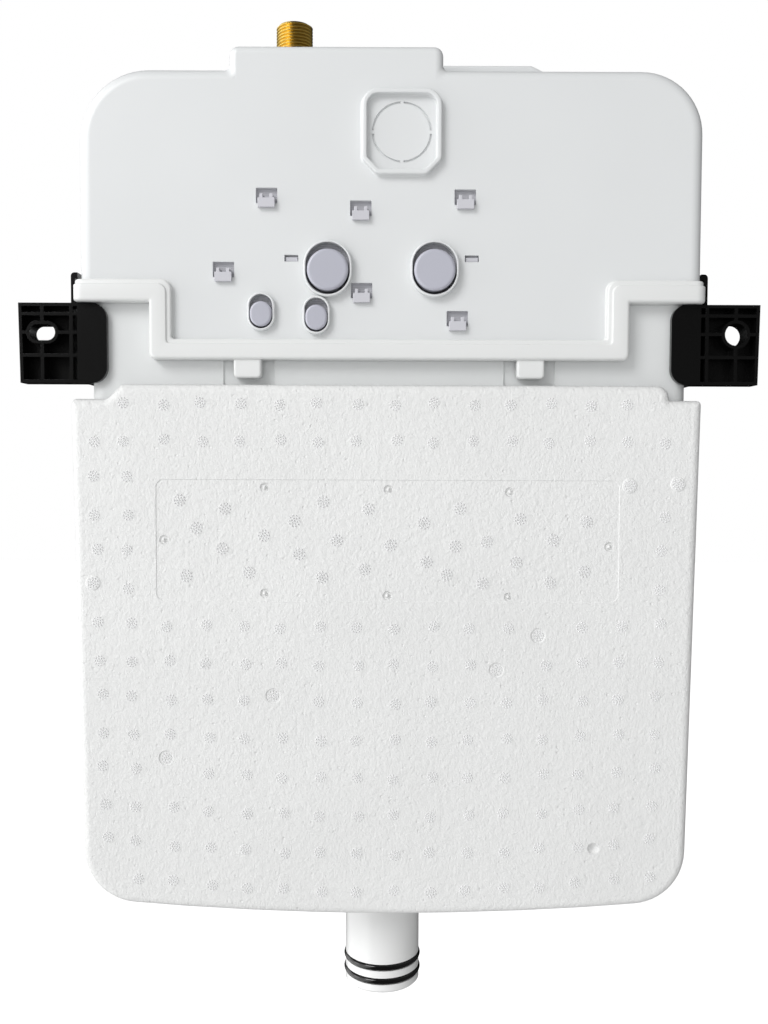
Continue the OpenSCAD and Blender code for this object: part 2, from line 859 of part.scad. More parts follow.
// Brass nipple with a flange clamped under the housing's roof and a run-out groove above its nut
module inlet_nipple() {
  color(brass) difference() {
    union() {
      pillar(inlet_x, axis_f, inlet_flange_z, inlet_top - inlet_chamfer, inlet_d / 2);
      translate([inlet_x, -axis_f, inlet_top - inlet_chamfer]) {
        cylinder(h = inlet_chamfer, r1 = inlet_d / 2, r2 = inlet_d / 2 - inlet_chamfer);
      }
      pillar(inlet_x, axis_f, inlet_flange_z, inlet_flange_z + inlet_flange_t, inlet_flange_r);
      pillar(inlet_x, axis_f, inlet_flange_z - inlet_tail, inlet_flange_z, inlet_tail_r);
    }
    pillar(inlet_x, axis_f, inlet_flange_z - inlet_tail - past, inlet_top + past, inlet_bore / 2);
    difference() {
      pillar(inlet_x, axis_f, relief_z, relief_z + inlet_relief, inlet_d);
      pillar(inlet_x, axis_f, relief_z - past, relief_z + inlet_relief + past, inlet_d / 2 - inlet_chamfer);
    }
  }
}

// Brass hexagon nut screwed down on the housing's roof
module inlet_lock_nut() {
  color(brass) difference() {
    translate([inlet_x, -axis_f, housing_z]) {
      cylinder(h = inlet_nut_h, d = inlet_nut_af / cos(30), $fn = 6);
    }
    pillar(inlet_x, axis_f, housing_z - past, housing_z + inlet_nut_h + past, inlet_d / 2 + run);
  }
}

// Rubber washer under the housing's roof
module inlet_seal() {
  color(rubber) difference() {
    pillar(inlet_x, axis_f, housing_in - inlet_seal_t, housing_in, inlet_flange_r);
    pillar(inlet_x, axis_f, housing_in - inlet_seal_t - past, housing_in + past, inlet_d / 2 + run);
  }
}

fill_r = 14;
fill_low_z = -16;
fill_top_z = 30;
spigot_h = 12;
tube_wall = 2.4;
supply_r = inlet_tail_r + run + tube_wall;
refill_r = 5.5;
refill_wall = 1.3;
refill_socket = 8;

// Straight tube from the nipple down to the fill valve
module supply_tube() {
  color(white) difference() {
    pillar(inlet_x, axis_f, fill_top_z, inlet_flange_z, supply_r);
    pillar(inlet_x, axis_f, fill_top_z - past, inlet_flange_z + past, inlet_tail_r + run);
  }
}

lever_x = inlet_x + lever_len / 2;
lever_z = -22;
lever_aside = 9.5;
lever_f = axis_f + lever_aside;
lever_t = 3;
lever_w = 3;
lever_hub_r = 3.5;
lever_pin_r = 1.5;
lug_t = 1.8;
lug_gap = 0.3;
lever_drop = float_travel / lever_len * 180 / PI;

// Fill valve housing with its water way and the two lugs of the float lever
module fill_valve_body() {
  color(natural) difference() {
    union() {
      pillar(inlet_x, axis_f, fill_low_z, fill_top_z, fill_r);
      pillar(inlet_x, axis_f, fill_top_z, fill_top_z + spigot_h, inlet_tail_r);
      for (s = [-1, 1]) {
        f = lever_f + s * (lever_w / 2 + lug_gap + lug_t / 2);
        peg(lever_x, lever_z, f - lug_t / 2, f + lug_t / 2, lever_hub_r);
        box(lever_x - lever_hub_r, lever_x + lever_hub_r, f - lug_t / 2, f + lug_t / 2, lever_z, fill_low_z + past);
      }
    }
    pillar(inlet_x, axis_f, fill_low_z - past, fill_top_z + spigot_h + past, refill_r - refill_wall);
    pillar(inlet_x, axis_f, fill_low_z - past, fill_low_z + refill_socket, refill_r + run);
    peg(lever_x, lever_z, 0, cover_in, lever_pin_r + run);
  }
}

// Steel pin of the float lever
module lever_pin() {
  reach = lever_w / 2 + lug_gap + lug_t;
  color(steel) peg(lever_x, lever_z, lever_f - reach, lever_f + reach, lever_pin_r);
}

lever_over = 4;

// Lever that the float post lifts; it hangs at its drop angle while the tank is empty
module float_lever() {
  color(lilac) translate([lever_x, -lever_f, lever_z]) rotate([0, -lever_drop, 0]) difference() {
    union() {
      translate([0, lever_w / 2, 0]) rotate([90, 0, 0]) cylinder(h = lever_w, r = lever_hub_r);
      translate([-lever_len - lever_over, -lever_w / 2, -lever_t / 2]) {
        cube([lever_len + lever_over, lever_w, lever_t]);
      }
    }
    translate([0, lever_w, 0]) rotate([90, 0, 0]) cylinder(h = 2 * lever_w, r = lever_pin_r + run);
  }
}

float_r = 14.5;
float_h = 38;
float_wall = 1.6;
float_top_z = -42;
float_low_z = float_top_z - float_h;
float_bore_r = refill_r + 1;
post_r = 1.5;
post_x = lever_x - lever_len * cos(lever_drop);
post_top_z = lever_z - lever_len * sin(lever_drop) - lever_t / 2 / cos(lever_drop) - post_r - tip_gap;

// Bell float that slides on the refill tube, with the post that lifts the lever
module fill_float() {
  color(natural) {
    difference() {
      pillar(inlet_x, axis_f, float_low_z, float_top_z, float_r);
      difference() {
        pillar(inlet_x, axis_f, float_low_z - past, float_top_z - float_wall, float_r - float_wall);
        pillar(inlet_x, axis_f, float_low_z - 2 * past, float_top_z, float_bore_r + float_wall);
      }
      pillar(inlet_x, axis_f, float_low_z - 3 * past, float_top_z + past, float_bore_r);
    }
    pillar(post_x, lever_f, float_top_z, post_top_z, post_r);
    translate([post_x, -lever_f, post_top_z]) sphere(post_r);
  }
}

refill_low_z = -150;
stop_r = float_bore_r + float_wall;
stop_t = 2;

// Quiet refill tube below the fill valve; its collar stops the float
module refill_tube() {
  color(white) difference() {
    union() {
      pillar(inlet_x, axis_f, refill_low_z, fill_low_z + refill_socket, refill_r);
      pillar(inlet_x, axis_f, float_low_z - gap - stop_t, float_low_z - gap, stop_r);
    }
    pillar(inlet_x, axis_f, refill_low_z - past, fill_low_z + refill_socket + past, refill_r - refill_wall);
  }
}

clip_z = (release_left_z + release_right_z) / 2;
clip_h = 12;
clip_wall = 2.6;
clip_f0 = axis_f + fill_r + run + clip_wall - past;
clip_t = 2;
clip_arm_w = 6;

// Clip that holds the fill valve; the release pads press its two wings
module fill_valve_clip() {
  color(lilac) difference() {
    union() {
      pillar(inlet_x, axis_f, clip_z - clip_h / 2, clip_z + clip_h / 2, fill_r + run + clip_wall);
      box(release_left_x - release_w / 2, release_right_x + release_w / 2, clip_f0, clip_f0 + clip_t,
        clip_z - clip_h / 2, clip_z + clip_h / 2);
      box(inlet_x - clip_arm_w / 2, inlet_x + clip_arm_w / 2, clip_f0, carrier_f0,
        clip_z - clip_h / 3, clip_z + clip_h / 3);
    }
    pillar(inlet_x, axis_f, clip_z - clip_h, clip_z + clip_h, fill_r + run);
    box(inlet_x - fill_r / 2, inlet_x + fill_r / 2, 0, axis_f, clip_z - clip_h, clip_z + clip_h);
  }
}

base_seal_t = 2.5;
flange_lip = 1;
flange_r = cage_d / 2 + flange_lip;
flange_t = 4;
flange_z = floor_in + base_seal_t;
seat_h = 10;
base_top_z = flange_z + flange_t + seat_h;
nut_h = 9;
tail_past = 4;
tail_z = floor_z - nut_h - tail_past;
socket_top_z = floor_in + base_seal_t;

// Flush valve base: flange over the floor hole, threaded tail below it and the valve seat on top
module valve_base() {
  color(natural) difference() {
    union() {
      pillar(outlet_x, axis_f, tail_z, base_top_z, tail_d / 2);
      pillar(outlet_x, axis_f, flange_z, flange_z + flange_t, flange_r);
    }
    pillar(outlet_x, axis_f, tail_z - past, base_top_z + past, pipe_bore / 2);
    pillar(outlet_x, axis_f, tail_z - past, socket_top_z, pipe_d / 2 + run);
  }
}

// Rubber ring between the base flange and the tank floor
module base_seal() {
  color(rubber) difference() {
    pillar(outlet_x, axis_f, floor_in, flange_z, flange_r);
    pillar(outlet_x, axis_f, floor_in - past, flange_z + past, tail_d / 2 + run);
  }
}

nut_lobes = 8;

// Large lobed nut that clamps the base from under the floor
module base_nut() {
  color(natural) difference() {
    union() {
      pillar(outlet_x, axis_f, floor_z - nut_h, floor_z, tail_d / 2 + nut_wall);
      for (i = [0:nut_lobes - 1]) translate([outlet_x, -axis_f, floor_z - nut_h]) rotate(i * 360 / nut_lobes) {
        translate([tail_d / 2 + nut_wall, 0, 0]) cylinder(h = nut_h, r = lobe_r);
      }
    }
    pillar(outlet_x, axis_f, floor_z - nut_h - past, floor_z + past, tail_d / 2 + run);
  }
}

pipe_end_z = -pipe_drop;
ring_r = pipe_d / 2 + ring_proud - ring_t / 2;
groove_w = ring_t + 0.4;
ring_zs = [pipe_end_z + ring_end, pipe_end_z + ring_end + ring_pitch];
pipe_chamfer = 1;

// Flush pipe spigot with two O-ring grooves near its end
module flush_pipe() {
  color(white) difference() {
    union() {
      pillar(outlet_x, axis_f, pipe_end_z + pipe_chamfer, socket_top_z, pipe_d / 2);
      translate([outlet_x, -axis_f, pipe_end_z]) {
        cylinder(h = pipe_chamfer, r1 = pipe_d / 2 - pipe_chamfer, r2 = pipe_d / 2);
      }
    }
    pillar(outlet_x, axis_f, pipe_end_z - past, socket_top_z + past, pipe_bore / 2);
    for (z = ring_zs) translate([outlet_x, -axis_f, z - groove_w / 2]) difference() {
      cylinder(h = groove_w, r = pipe_d / 2 + past);
      translate([0, 0, -past]) cylinder(h = groove_w + 2 * past, r = ring_r - ring_t / 2 - run);
    }
  }
}

// The two O-rings of the flush pipe
module pipe_o_rings() {
  color(rubber) for (z = ring_zs) translate([outlet_x, -axis_f, z]) rotate_extrude() {
    translate([ring_r, 0]) circle(ring_t / 2);
  }
}

cage_low_z = flange_z + flange_t;
cage_h = 70;
cage_top_z = cage_low_z + cage_h;
cage_wall = 2.6;
cage_roof_t = 3;
cage_windows = 6;
cage_window_h = 34;
cage_window_w = 22;
cage_foot = 8;

// Basket round the valve seat, open through six windows, whose roof guides the overflow tube
module valve_cage() {
  color(natural) difference() {
    pillar(outlet_x, axis_f, cage_low_z, cage_top_z, cage_d / 2);
    pillar(outlet_x, axis_f, cage_low_z - past, cage_top_z - cage_roof_t, cage_d / 2 - cage_wall);
    pillar(outlet_x, axis_f, cage_low_z - past, cage_top_z + past, overflow_d / 2 + gap);
    for (i = [0:cage_windows - 1]) translate([outlet_x, -axis_f, cage_low_z + cage_foot]) rotate(i * 360 / cage_windows) {
      translate([0, -cage_window_w / 2, 0]) cube([cage_d, cage_window_w, cage_window_h]);
    }
  }
}

seal_z = base_top_z + gap;
seal_t = 3;
seal_r = tail_d / 2 - 1;
tube_low_z = seal_z + seal_t;
tube_top_z = -overflow_drop;
overflow_wall = 2;
disc_t = 2.5;

// Rubber disc that closes the valve seat
module valve_seal() {
  color(rubber) difference() {
    pillar(outlet_x, axis_f, seal_z, tube_low_z, seal_r);
    pillar(outlet_x, axis_f, seal_z - past, tube_low_z + past, overflow_d / 2 - overflow_wall);
  }
}

// Overflow tube that lifts off the seat, with the disc that carries the seal
module overflow_tube() {
  color(white) difference() {
    union() {
      pillar(outlet_x, axis_f, tube_low_z, tube_top_z, overflow_d / 2);
      pillar(outlet_x, axis_f, tube_low_z, tube_low_z + disc_t, seal_r);
    }
    pillar(outlet_x, axis_f, tube_low_z - past, tube_top_z + past, overflow_d / 2 - overflow_wall);
  }
}

pivot_z = pad_z + pivot_rise;
arm_len = pivot_f - axis_f;
arm_tip_r = 2.5;
arm_w = 6;
bar_t = 2;
bar_in = arm_w / 2 + 1.5;
bar_f = 3;
stirrup_top_z = pivot_z + arm_tip_r + tip_gap;
stirrup_low_z = pivot_z - arm_tip_r - 6;
stirrup_bar_t = 3;
rod_w = 5;

// Stirrup that a rocker's tip lifts from inside, with a rod down to low_z
module lift_rod(x, low_z) {
  out = bar_in + bar_t;
  for (s = [-1, 1]) {
    low_x = s < 0 ? x - out : x + bar_in;
    box(low_x, low_x + bar_t, axis_f - bar_f / 2, axis_f + bar_f / 2, stirrup_low_z, stirrup_top_z + stirrup_bar_t);
  }
  box(x - out, x + out, axis_f - bar_f, axis_f + bar_f, stirrup_top_z, stirrup_top_z + stirrup_bar_t);
  box(x - out, x + out, axis_f - bar_f / 2, axis_f + bar_f / 2, stirrup_low_z - stirrup_bar_t, stirrup_low_z);
  box(x - rod_w / 2, x + rod_w / 2, axis_f - bar_f / 2, axis_f + bar_f / 2, low_z, stirrup_low_z);
}

yoke_h = 10;
yoke_z = tube_top_z - 4 - yoke_h;
yoke_wall = 3;

// Lift rod of the full flush, clamped to the overflow tube by its yoke
module full_lift_rod() {
  ring = overflow_d / 2 + run + yoke_wall;
  color(lilac) difference() {
    union() {
      lift_rod(full_pad_x, yoke_z);
      pillar(outlet_x, axis_f, yoke_z, yoke_z + yoke_h, ring);
      box(full_pad_x - rod_w / 2, outlet_x, axis_f - bar_f / 2, axis_f + bar_f / 2, yoke_z, yoke_z + yoke_h);
    }
    pillar(outlet_x, axis_f, yoke_z - past, yoke_z + yoke_h + past, overflow_d / 2 + run);
  }
}

half_float_z = cage_top_z + gap;
half_float_h = 40;
half_float_wall = 2;
half_float_r = half_pad_x - outlet_x + rod_w / 2;
half_float_top_z = half_float_z + half_float_h;

// Bell float of the half flush, round the overflow tube on top of the cage
module half_flush_float() {
  bore = overflow_d / 2 + 1.2;
  color(lilac) difference() {
    pillar(outlet_x, axis_f, half_float_z, half_float_top_z, half_float_r);
    difference() {
      pillar(outlet_x, axis_f, half_float_z - past, half_float_top_z - half_float_wall, half_float_r - half_float_wall);
      pillar(outlet_x, axis_f, half_float_z - 2 * past, half_float_top_z, bore + half_float_wall);
    }
    pillar(outlet_x, axis_f, half_float_z - 3 * past, half_float_top_z + past, bore);
  }
}

// Lift rod of the half flush, standing on the bell float
module half_lift_rod() {
  color(lilac) lift_rod(half_pad_x, half_float_top_z);
}

carrier_t = 2.6;
carrier_f1 = cover_in;
carrier_f0 = carrier_f1 - carrier_t;
carrier_margin = 7;
carrier_r = 5;
window_xs = [for (w = windows) w.x];
carrier_x0 = min(window_xs) - window_w / 2 - carrier_margin;
carrier_x1 = max(window_xs) + window_w / 2 + carrier_margin;
carrier_z0 = release_right_z - release_h / 2 - carrier_margin / 2;
carrier_z1 = max([for (w = windows) w.y]) + carrier_margin;
sleeve_wall = 2;
pad_f1 = cover_front + collar_h + pad_proud;
pad_t = 7 + pad_proud;
release_f1 = cover_front + release_collar_h + pad_proud;
spring_room = 3.6;
seat_f = pad_f1 - pad_t - pad_travel - spring_room;
release_seat_f = release_f1 - pad_t - release_travel - spring_room;
seat_t = 2;
arm_front_f = pivot_f + 3.4;
stem_end_f = arm_front_f + tip_gap;
release_end_f = clip_f0 + clip_t + release_travel + tip_gap;
release_stem_r = 3;
hub_half = 5;
hub_r = 5;
cheek_gap = 0.5;
cheek_t = 3;
cheek_r = 6;
hook_block_w = 9.2;
hook_block_h = 5;
hook_block_t = 2.5;
prong_w = 1.7;
prong_x = 2.7;
prong_h = 4.4;
tongue_sink = 1.2;
tongue_play = 0.5;

// Snap hook through one window: two prongs and the block that laps the window's lower edge
module snap_hook(x, top) {
  low = top - window_h;
  face = cover_front + gap;
  box(x - hook_block_w / 2, x + hook_block_w / 2, face, face + hook_block_t,
    low - hook_block_h / 2, low + hook_block_h / 2);
  for (s = [-1, 1]) {
    middle = x + s * prong_x;
    box(middle - prong_w / 2, middle + prong_w / 2, carrier_f0, face + hook_block_t, low + gap, low + gap + prong_h);
  }
}

// Guide sleeve outline behind the carrier at one pad
module pad_sleeve(grow) {
  circle(pad_d / 2 + pad_play + grow);
}

module release_sleeve(grow) {
  obround(release_w + 2 * (pad_play + grow), release_h + 2 * (pad_play + grow));
}

// Inner frame that carries hooks, lock tongues, guide sleeves and the rocker cheeks
module carrier_plate() {
  color(lilac) difference() {
    union() {
      translate([0, -carrier_f0, 0]) face_on() linear_extrude(carrier_t) {
        soft_rect(carrier_x0, carrier_x1, carrier_z0, carrier_z1, carrier_r);
      }
      for (w = windows) snap_hook(w.x, w.y);
      for (s = slots) {
        box(s.x - slot_w / 2 + tongue_play, s.x + slot_w / 2 - tongue_play, carrier_f0, cover_front - tongue_sink,
          s.y - slot_h / 2 + gap, s.y + slot_h / 2 - 2 * tongue_play);
      }
      for (p = pad_places) translate([p.x, -seat_f + seat_t, p.y]) face_on() {
        linear_extrude(carrier_f0 - seat_f + seat_t) pad_sleeve(sleeve_wall);
      }
      for (p = release_places) translate([p.x, -release_seat_f + seat_t, p.y]) face_on() {
        linear_extrude(carrier_f0 - release_seat_f + seat_t) release_sleeve(sleeve_wall);
      }
      for (p = pad_places) {
        for (s = [-1, 1]) {
          x = p.x + s * (hub_half + cheek_gap + cheek_t / 2) - cheek_t / 2;
          crossbar(x, x + cheek_t, pivot_f, pivot_z, cheek_r);
          box(x, x + cheek_t, pivot_f, carrier_f0, pivot_z - cheek_r, pivot_z + cheek_r);
        }
      }
    }
    for (p = pad_places) {
      translate([p.x, -seat_f, p.y]) face_on() linear_extrude(far) pad_sleeve(0);
      peg(p.x, p.y, seat_f - seat_t - past, seat_f + past, stem_d / 2 + run);
    }
    for (p = release_places) {
      translate([p.x, -release_seat_f, p.y]) face_on() linear_extrude(far) release_sleeve(0);
      peg(p.x, p.y, release_seat_f - seat_t - past, release_seat_f + past, release_stem_r + run);
    }
    crossbar(-far, far, pivot_f, pivot_z, axle_d / 2 + run);
  }
}

// Steel axle through all four cheeks
module rocker_axle() {
  reach = hub_half + cheek_gap + cheek_t;
  color(steel) crossbar(full_pad_x - reach, half_pad_x + reach, pivot_f, pivot_z, axle_d / 2);
}

arm_t = 3.6;
arm_below = 5;
arm_plate_w = 8;

// Bell-crank: a stem pushes its hanging arm back and its rear arm lifts a stirrup
module rocker(x) {
  color(natural) difference() {
    union() {
      crossbar(x - hub_half, x + hub_half, pivot_f, pivot_z, hub_r);
      box(x - arm_plate_w / 2, x + arm_plate_w / 2, arm_front_f - arm_t, arm_front_f, pad_z - arm_below, pivot_z);
      box(x - arm_w / 2, x + arm_w / 2, axis_f, pivot_f, pivot_z - arm_tip_r, pivot_z + arm_tip_r);
      crossbar(x - arm_w / 2, x + arm_w / 2, axis_f, pivot_z, arm_tip_r);
    }
    crossbar(x - far, x + far, pivot_f, pivot_z, axle_d / 2 + run);
  }
}

module full_rocker() {
  rocker(full_pad_x);
}

module half_rocker() {
  rocker(half_pad_x);
}

pad_edge = 1;

// Round push pad: a disc with a bevelled rim on a stem with a ball end
module flush_pad(x) {
  color(lilac) {
    peg(x, pad_z, pad_f1 - pad_t, pad_f1 - pad_edge, pad_d / 2);
    translate([x, -pad_f1 + pad_edge, pad_z]) rotate([90, 0, 0]) {
      cylinder(h = pad_edge, r1 = pad_d / 2, r2 = pad_d / 2 - pad_edge);
    }
    peg(x, pad_z, stem_end_f + stem_d / 2, pad_f1 - pad_t + past, stem_d / 2);
    translate([x, -stem_end_f - stem_d / 2, pad_z]) sphere(stem_d / 2);
  }
}

module full_flush_pad() {
  flush_pad(full_pad_x);
}

module half_flush_pad() {
  flush_pad(half_pad_x);
}

release_edge = 0.8;

// Round-ended push pad with a bevelled rim, on a stem with a ball end
module release_pad(p) {
  color(lilac) {
    translate([p.x, -release_f1 + pad_t, p.y]) face_on() {
      linear_extrude(pad_t - release_edge) obround(release_w, release_h);
      linear_extrude(pad_t) obround(release_w - 2 * release_edge, release_h - 2 * release_edge);
    }
    peg(p.x, p.y, release_end_f + release_stem_r, release_f1 - pad_t + past, release_stem_r);
    translate([p.x, -release_end_f - release_stem_r, p.y]) sphere(release_stem_r);
  }
}

module release_pad_left() {
  release_pad(release_places[0]);
}

module release_pad_right() {
  release_pad(release_places[1]);
}

wire_d = 0.7;
coil_turns = 4;
coil_steps = 16;
wire_sides = 6;

// Point on the coil's axis line: a helix of radius r that rises len between its end rings
function coil_point(r, len, i) =
  let (turn = i / coil_steps * 360, climb = len * i / (coil_turns * coil_steps))
  [r * cos(turn), r * sin(turn), climb];

// Compression spring: one wire swept along a helix
module coil_spring(r, len) {
  rings = coil_turns * coil_steps;
  points = [
    for (i = [0:rings])
      for (k = [0:wire_sides - 1])
        let (c = coil_point(r, len, i), turn = i / coil_steps * 360, a = k * 360 / wire_sides)
        c + wire_d / 2 * [cos(a) * cos(turn), cos(a) * sin(turn), sin(a)]
  ];
  skin = [
    for (i = [0:rings - 1])
      for (k = [0:wire_sides - 1])
        let (a = i * wire_sides + k, b = i * wire_sides + (k + 1) % wire_sides)
        each [[a, b + wire_sides, b], [a, a + wire_sides, b + wire_sides]]
  ];
  start = [for (k = [1:wire_sides - 2]) [0, k, k + 1]];
  last = rings * wire_sides;
  finish = [for (k = [1:wire_sides - 2]) [last, last + k + 1, last + k]];
  polyhedron(points = points, faces = concat(skin, start, finish));
}

spring_ease = 0.2;

// Return spring between a sleeve's seat and the back of its pad
module pad_spring(p, seat, front, stem_r) {
  rest = front - seat - wire_d - 2 * spring_ease;
  color(steel) translate([p.x, -seat - wire_d / 2 - spring_ease, p.y]) rotate([90, 0, 0]) {
    coil_spring(stem_r + wire_d / 2 + gap, rest);
  }
}

module full_pad_spring() {
  pad_spring(pad_places[0], seat_f, pad_f1 - pad_t, stem_d / 2);
}

module half_pad_spring() {
  pad_spring(pad_places[1], seat_f, pad_f1 - pad_t, stem_d / 2);
}

module release_spring_left() {
  pad_spring(release_places[0], release_seat_f, release_f1 - pad_t, release_stem_r);
}

module release_spring_right() {
  pad_spring(release_places[1], release_seat_f, release_f1 - pad_t, release_stem_r);
}

lower_tank();
top_cover();
seam_seal();
foam_shell();
bracket_left();
bracket_right();
inlet_nipple();
inlet_lock_nut();
inlet_seal();
supply_tube();
fill_valve_body();
fill_valve_clip();
refill_tube();
fill_float();
float_lever();
lever_pin();
valve_base();
base_seal();
base_nut();
flush_pipe();
pipe_o_rings();
valve_cage();
overflow_tube();
valve_seal();
full_lift_rod();
half_flush_float();
half_lift_rod();
carrier_plate();
rocker_axle();
full_rocker();
half_rocker();
full_flush_pad();
half_flush_pad();
release_pad_left();
release_pad_right();
full_pad_spring();
half_pad_spring();
release_spring_left();
release_spring_right();
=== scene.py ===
import math

import bpy
import numpy as np
from mathutils.geometry import tessellate_polygon
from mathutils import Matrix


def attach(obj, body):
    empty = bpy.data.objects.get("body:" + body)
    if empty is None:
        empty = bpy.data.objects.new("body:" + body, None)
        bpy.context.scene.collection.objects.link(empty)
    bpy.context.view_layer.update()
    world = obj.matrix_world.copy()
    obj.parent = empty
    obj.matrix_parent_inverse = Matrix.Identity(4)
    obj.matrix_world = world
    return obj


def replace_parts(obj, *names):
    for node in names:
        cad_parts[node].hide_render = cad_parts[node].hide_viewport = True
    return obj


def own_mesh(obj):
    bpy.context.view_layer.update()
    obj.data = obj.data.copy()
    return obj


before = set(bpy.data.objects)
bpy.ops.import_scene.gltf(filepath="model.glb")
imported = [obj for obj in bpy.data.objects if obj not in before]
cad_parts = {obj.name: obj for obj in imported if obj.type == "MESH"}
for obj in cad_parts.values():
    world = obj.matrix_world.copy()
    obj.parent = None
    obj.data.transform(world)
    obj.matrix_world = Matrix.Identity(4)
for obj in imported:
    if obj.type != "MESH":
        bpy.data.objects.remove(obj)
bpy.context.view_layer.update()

# Camera: square on to the cistern's front below bracket height, tipped down by under three degrees and a little rolled.
# The long side of the picture is 36 mm of sensor, so the lens gives 1040 pixels of focal length.
sensor, focal_pixels, picture_high = 36.0, 1040.0, 1024.0
tipped_down, rolled = 2.75, -0.2
camera_data = bpy.data.cameras.new("camera")
camera_data.sensor_width = sensor
camera_data.lens = focal_pixels / picture_high * sensor
camera = bpy.data.objects.new("camera", camera_data)
camera.location = (-0.00258, -0.661, -0.0701)
camera.rotation_euler = (math.radians(90.0 - tipped_down), math.radians(rolled), 0.0)
bpy.context.scene.collection.objects.link(camera)
bpy.context.scene.camera = camera

# Studio: a pale floor far below, a room that is brighter on the left, a broad soft lamp from the upper left and a
# weaker one beside it on the left. They make soft shadows to the right of and below each raised edge.
# Shiny surfaces mirror a white wall on the left, a grey one on the right and darkness in front and behind.
bpy.context.scene.view_settings.view_transform = "Standard"
floor_half, floor_z = 9.0, -1.0
floor_corners = [(x * floor_half, y * floor_half, floor_z) for x, y in ((-1, -1), (1, -1), (1, 1), (-1, 1))]
floor_mesh = bpy.data.meshes.new("studio_floor")
floor_mesh.from_pydata(floor_corners, [], [(0, 1, 2, 3)])
floor = bpy.data.objects.new("studio_floor", floor_mesh)
bpy.context.scene.collection.objects.link(floor)
floor_paint = bpy.data.materials.new("pale_floor")
floor_paint.use_nodes = True
floor_shader = floor_paint.node_tree.nodes["Principled BSDF"]
floor_shader.inputs["Base Color"].default_value = (0.93, 0.93, 0.93, 1)
floor_shader.inputs["Roughness"].default_value = 0.9
floor_shader.inputs["Emission Color"].default_value = (1, 1, 1, 1)
floor_shader.inputs["Emission Strength"].default_value = 0.7
floor_mesh.materials.append(floor_paint)
floor.visible_diffuse = False
floor.visible_glossy = False
room = bpy.data.worlds.new("studio_room")
room.use_nodes = True
room_nodes, room_links = room.node_tree.nodes, room.node_tree.links
room_way = room_nodes.new("ShaderNodeTexCoord")
room_lean = room_nodes.new("ShaderNodeVectorMath")
room_lean.operation = "DOT_PRODUCT"
room_lean.inputs[1].default_value = (-0.38, -0.36, -0.18)
room_level = room_nodes.new("ShaderNodeMath")
room_level.inputs[1].default_value = 0.535
room_parts = room_nodes.new("ShaderNodeSeparateXYZ")
room_sides = room_nodes.new("ShaderNodeMath")
room_walls = room_nodes.new("ShaderNodeMath")
room_walls.operation = "MULTIPLY"
room_strength = room_nodes.new("ShaderNodeMix")
room_seen = room_nodes.new("ShaderNodeLightPath")
room_white = room_nodes.new("ShaderNodeBackground")
room_mix = room_nodes.new("ShaderNodeMixShader")
room_links.new(room_way.outputs["Generated"], room_lean.inputs[0])
room_links.new(room_lean.outputs["Value"], room_level.inputs[0])
room_links.new(room_way.outputs["Generated"], room_parts.inputs["Vector"])
for axis, start, stop, low, high, wall in (
    ("X", -0.4, -0.75, 0.06, 2.2, room_sides.inputs[0]),
    ("X", 0.3, 0.8, 0.0, 0.07, room_sides.inputs[1]),
    ("Y", 0.4, 0.9, 1.0, 0.05, room_walls.inputs[1]),
):
    room_step = room_nodes.new("ShaderNodeMapRange")
    room_step.interpolation_type = "SMOOTHSTEP"
    room_step.inputs["From Min"].default_value = start
    room_step.inputs["From Max"].default_value = stop
    room_step.inputs["To Min"].default_value = low
    room_step.inputs["To Max"].default_value = high
    room_links.new(room_parts.outputs[axis], room_step.inputs["Value"])
    room_links.new(room_step.outputs["Result"], wall)
room_links.new(room_sides.outputs["Value"], room_walls.inputs[0])
room_links.new(room_seen.outputs["Is Glossy Ray"], room_strength.inputs["Factor"])
room_links.new(room_level.outputs["Value"], room_strength.inputs["A"])
room_links.new(room_walls.outputs["Value"], room_strength.inputs["B"])
room_links.new(room_strength.outputs["Result"], room_nodes["Background"].inputs["Strength"])
room_nodes["Background"].inputs["Color"].default_value = (1, 1, 1, 1)
room_white.inputs["Color"].default_value = (1, 1, 1, 1)
room_links.new(room_seen.outputs["Is Camera Ray"], room_mix.inputs["Fac"])
room_links.new(room_nodes["Background"].outputs["Background"], room_mix.inputs[1])
room_links.new(room_white.outputs["Background"], room_mix.inputs[2])
room_links.new(room_mix.outputs["Shader"], room_nodes["World Output"].inputs["Surface"])
bpy.context.scene.world = room
for name, place, turn, wide, high, power in (
    ("soft_lamp", (-1.45, -1.75, 1.35), (57, 0, -40), 1.15, 1.15, 32.0),
    ("side_lamp", (-1.6, -0.35, -0.1), (90, 0, -78), 0.5, 1.2, 3.5),
):
    lamp_data = bpy.data.lights.new(name, "AREA")
    lamp_data.shape = "RECTANGLE"
    lamp_data.size = wide
    lamp_data.size_y = high
    lamp_data.energy = power
    lamp = bpy.data.objects.new(name, lamp_data)
    lamp.location = place
    lamp.rotation_euler = tuple(math.radians(a) for a in turn)
    bpy.context.scene.collection.objects.link(lamp)


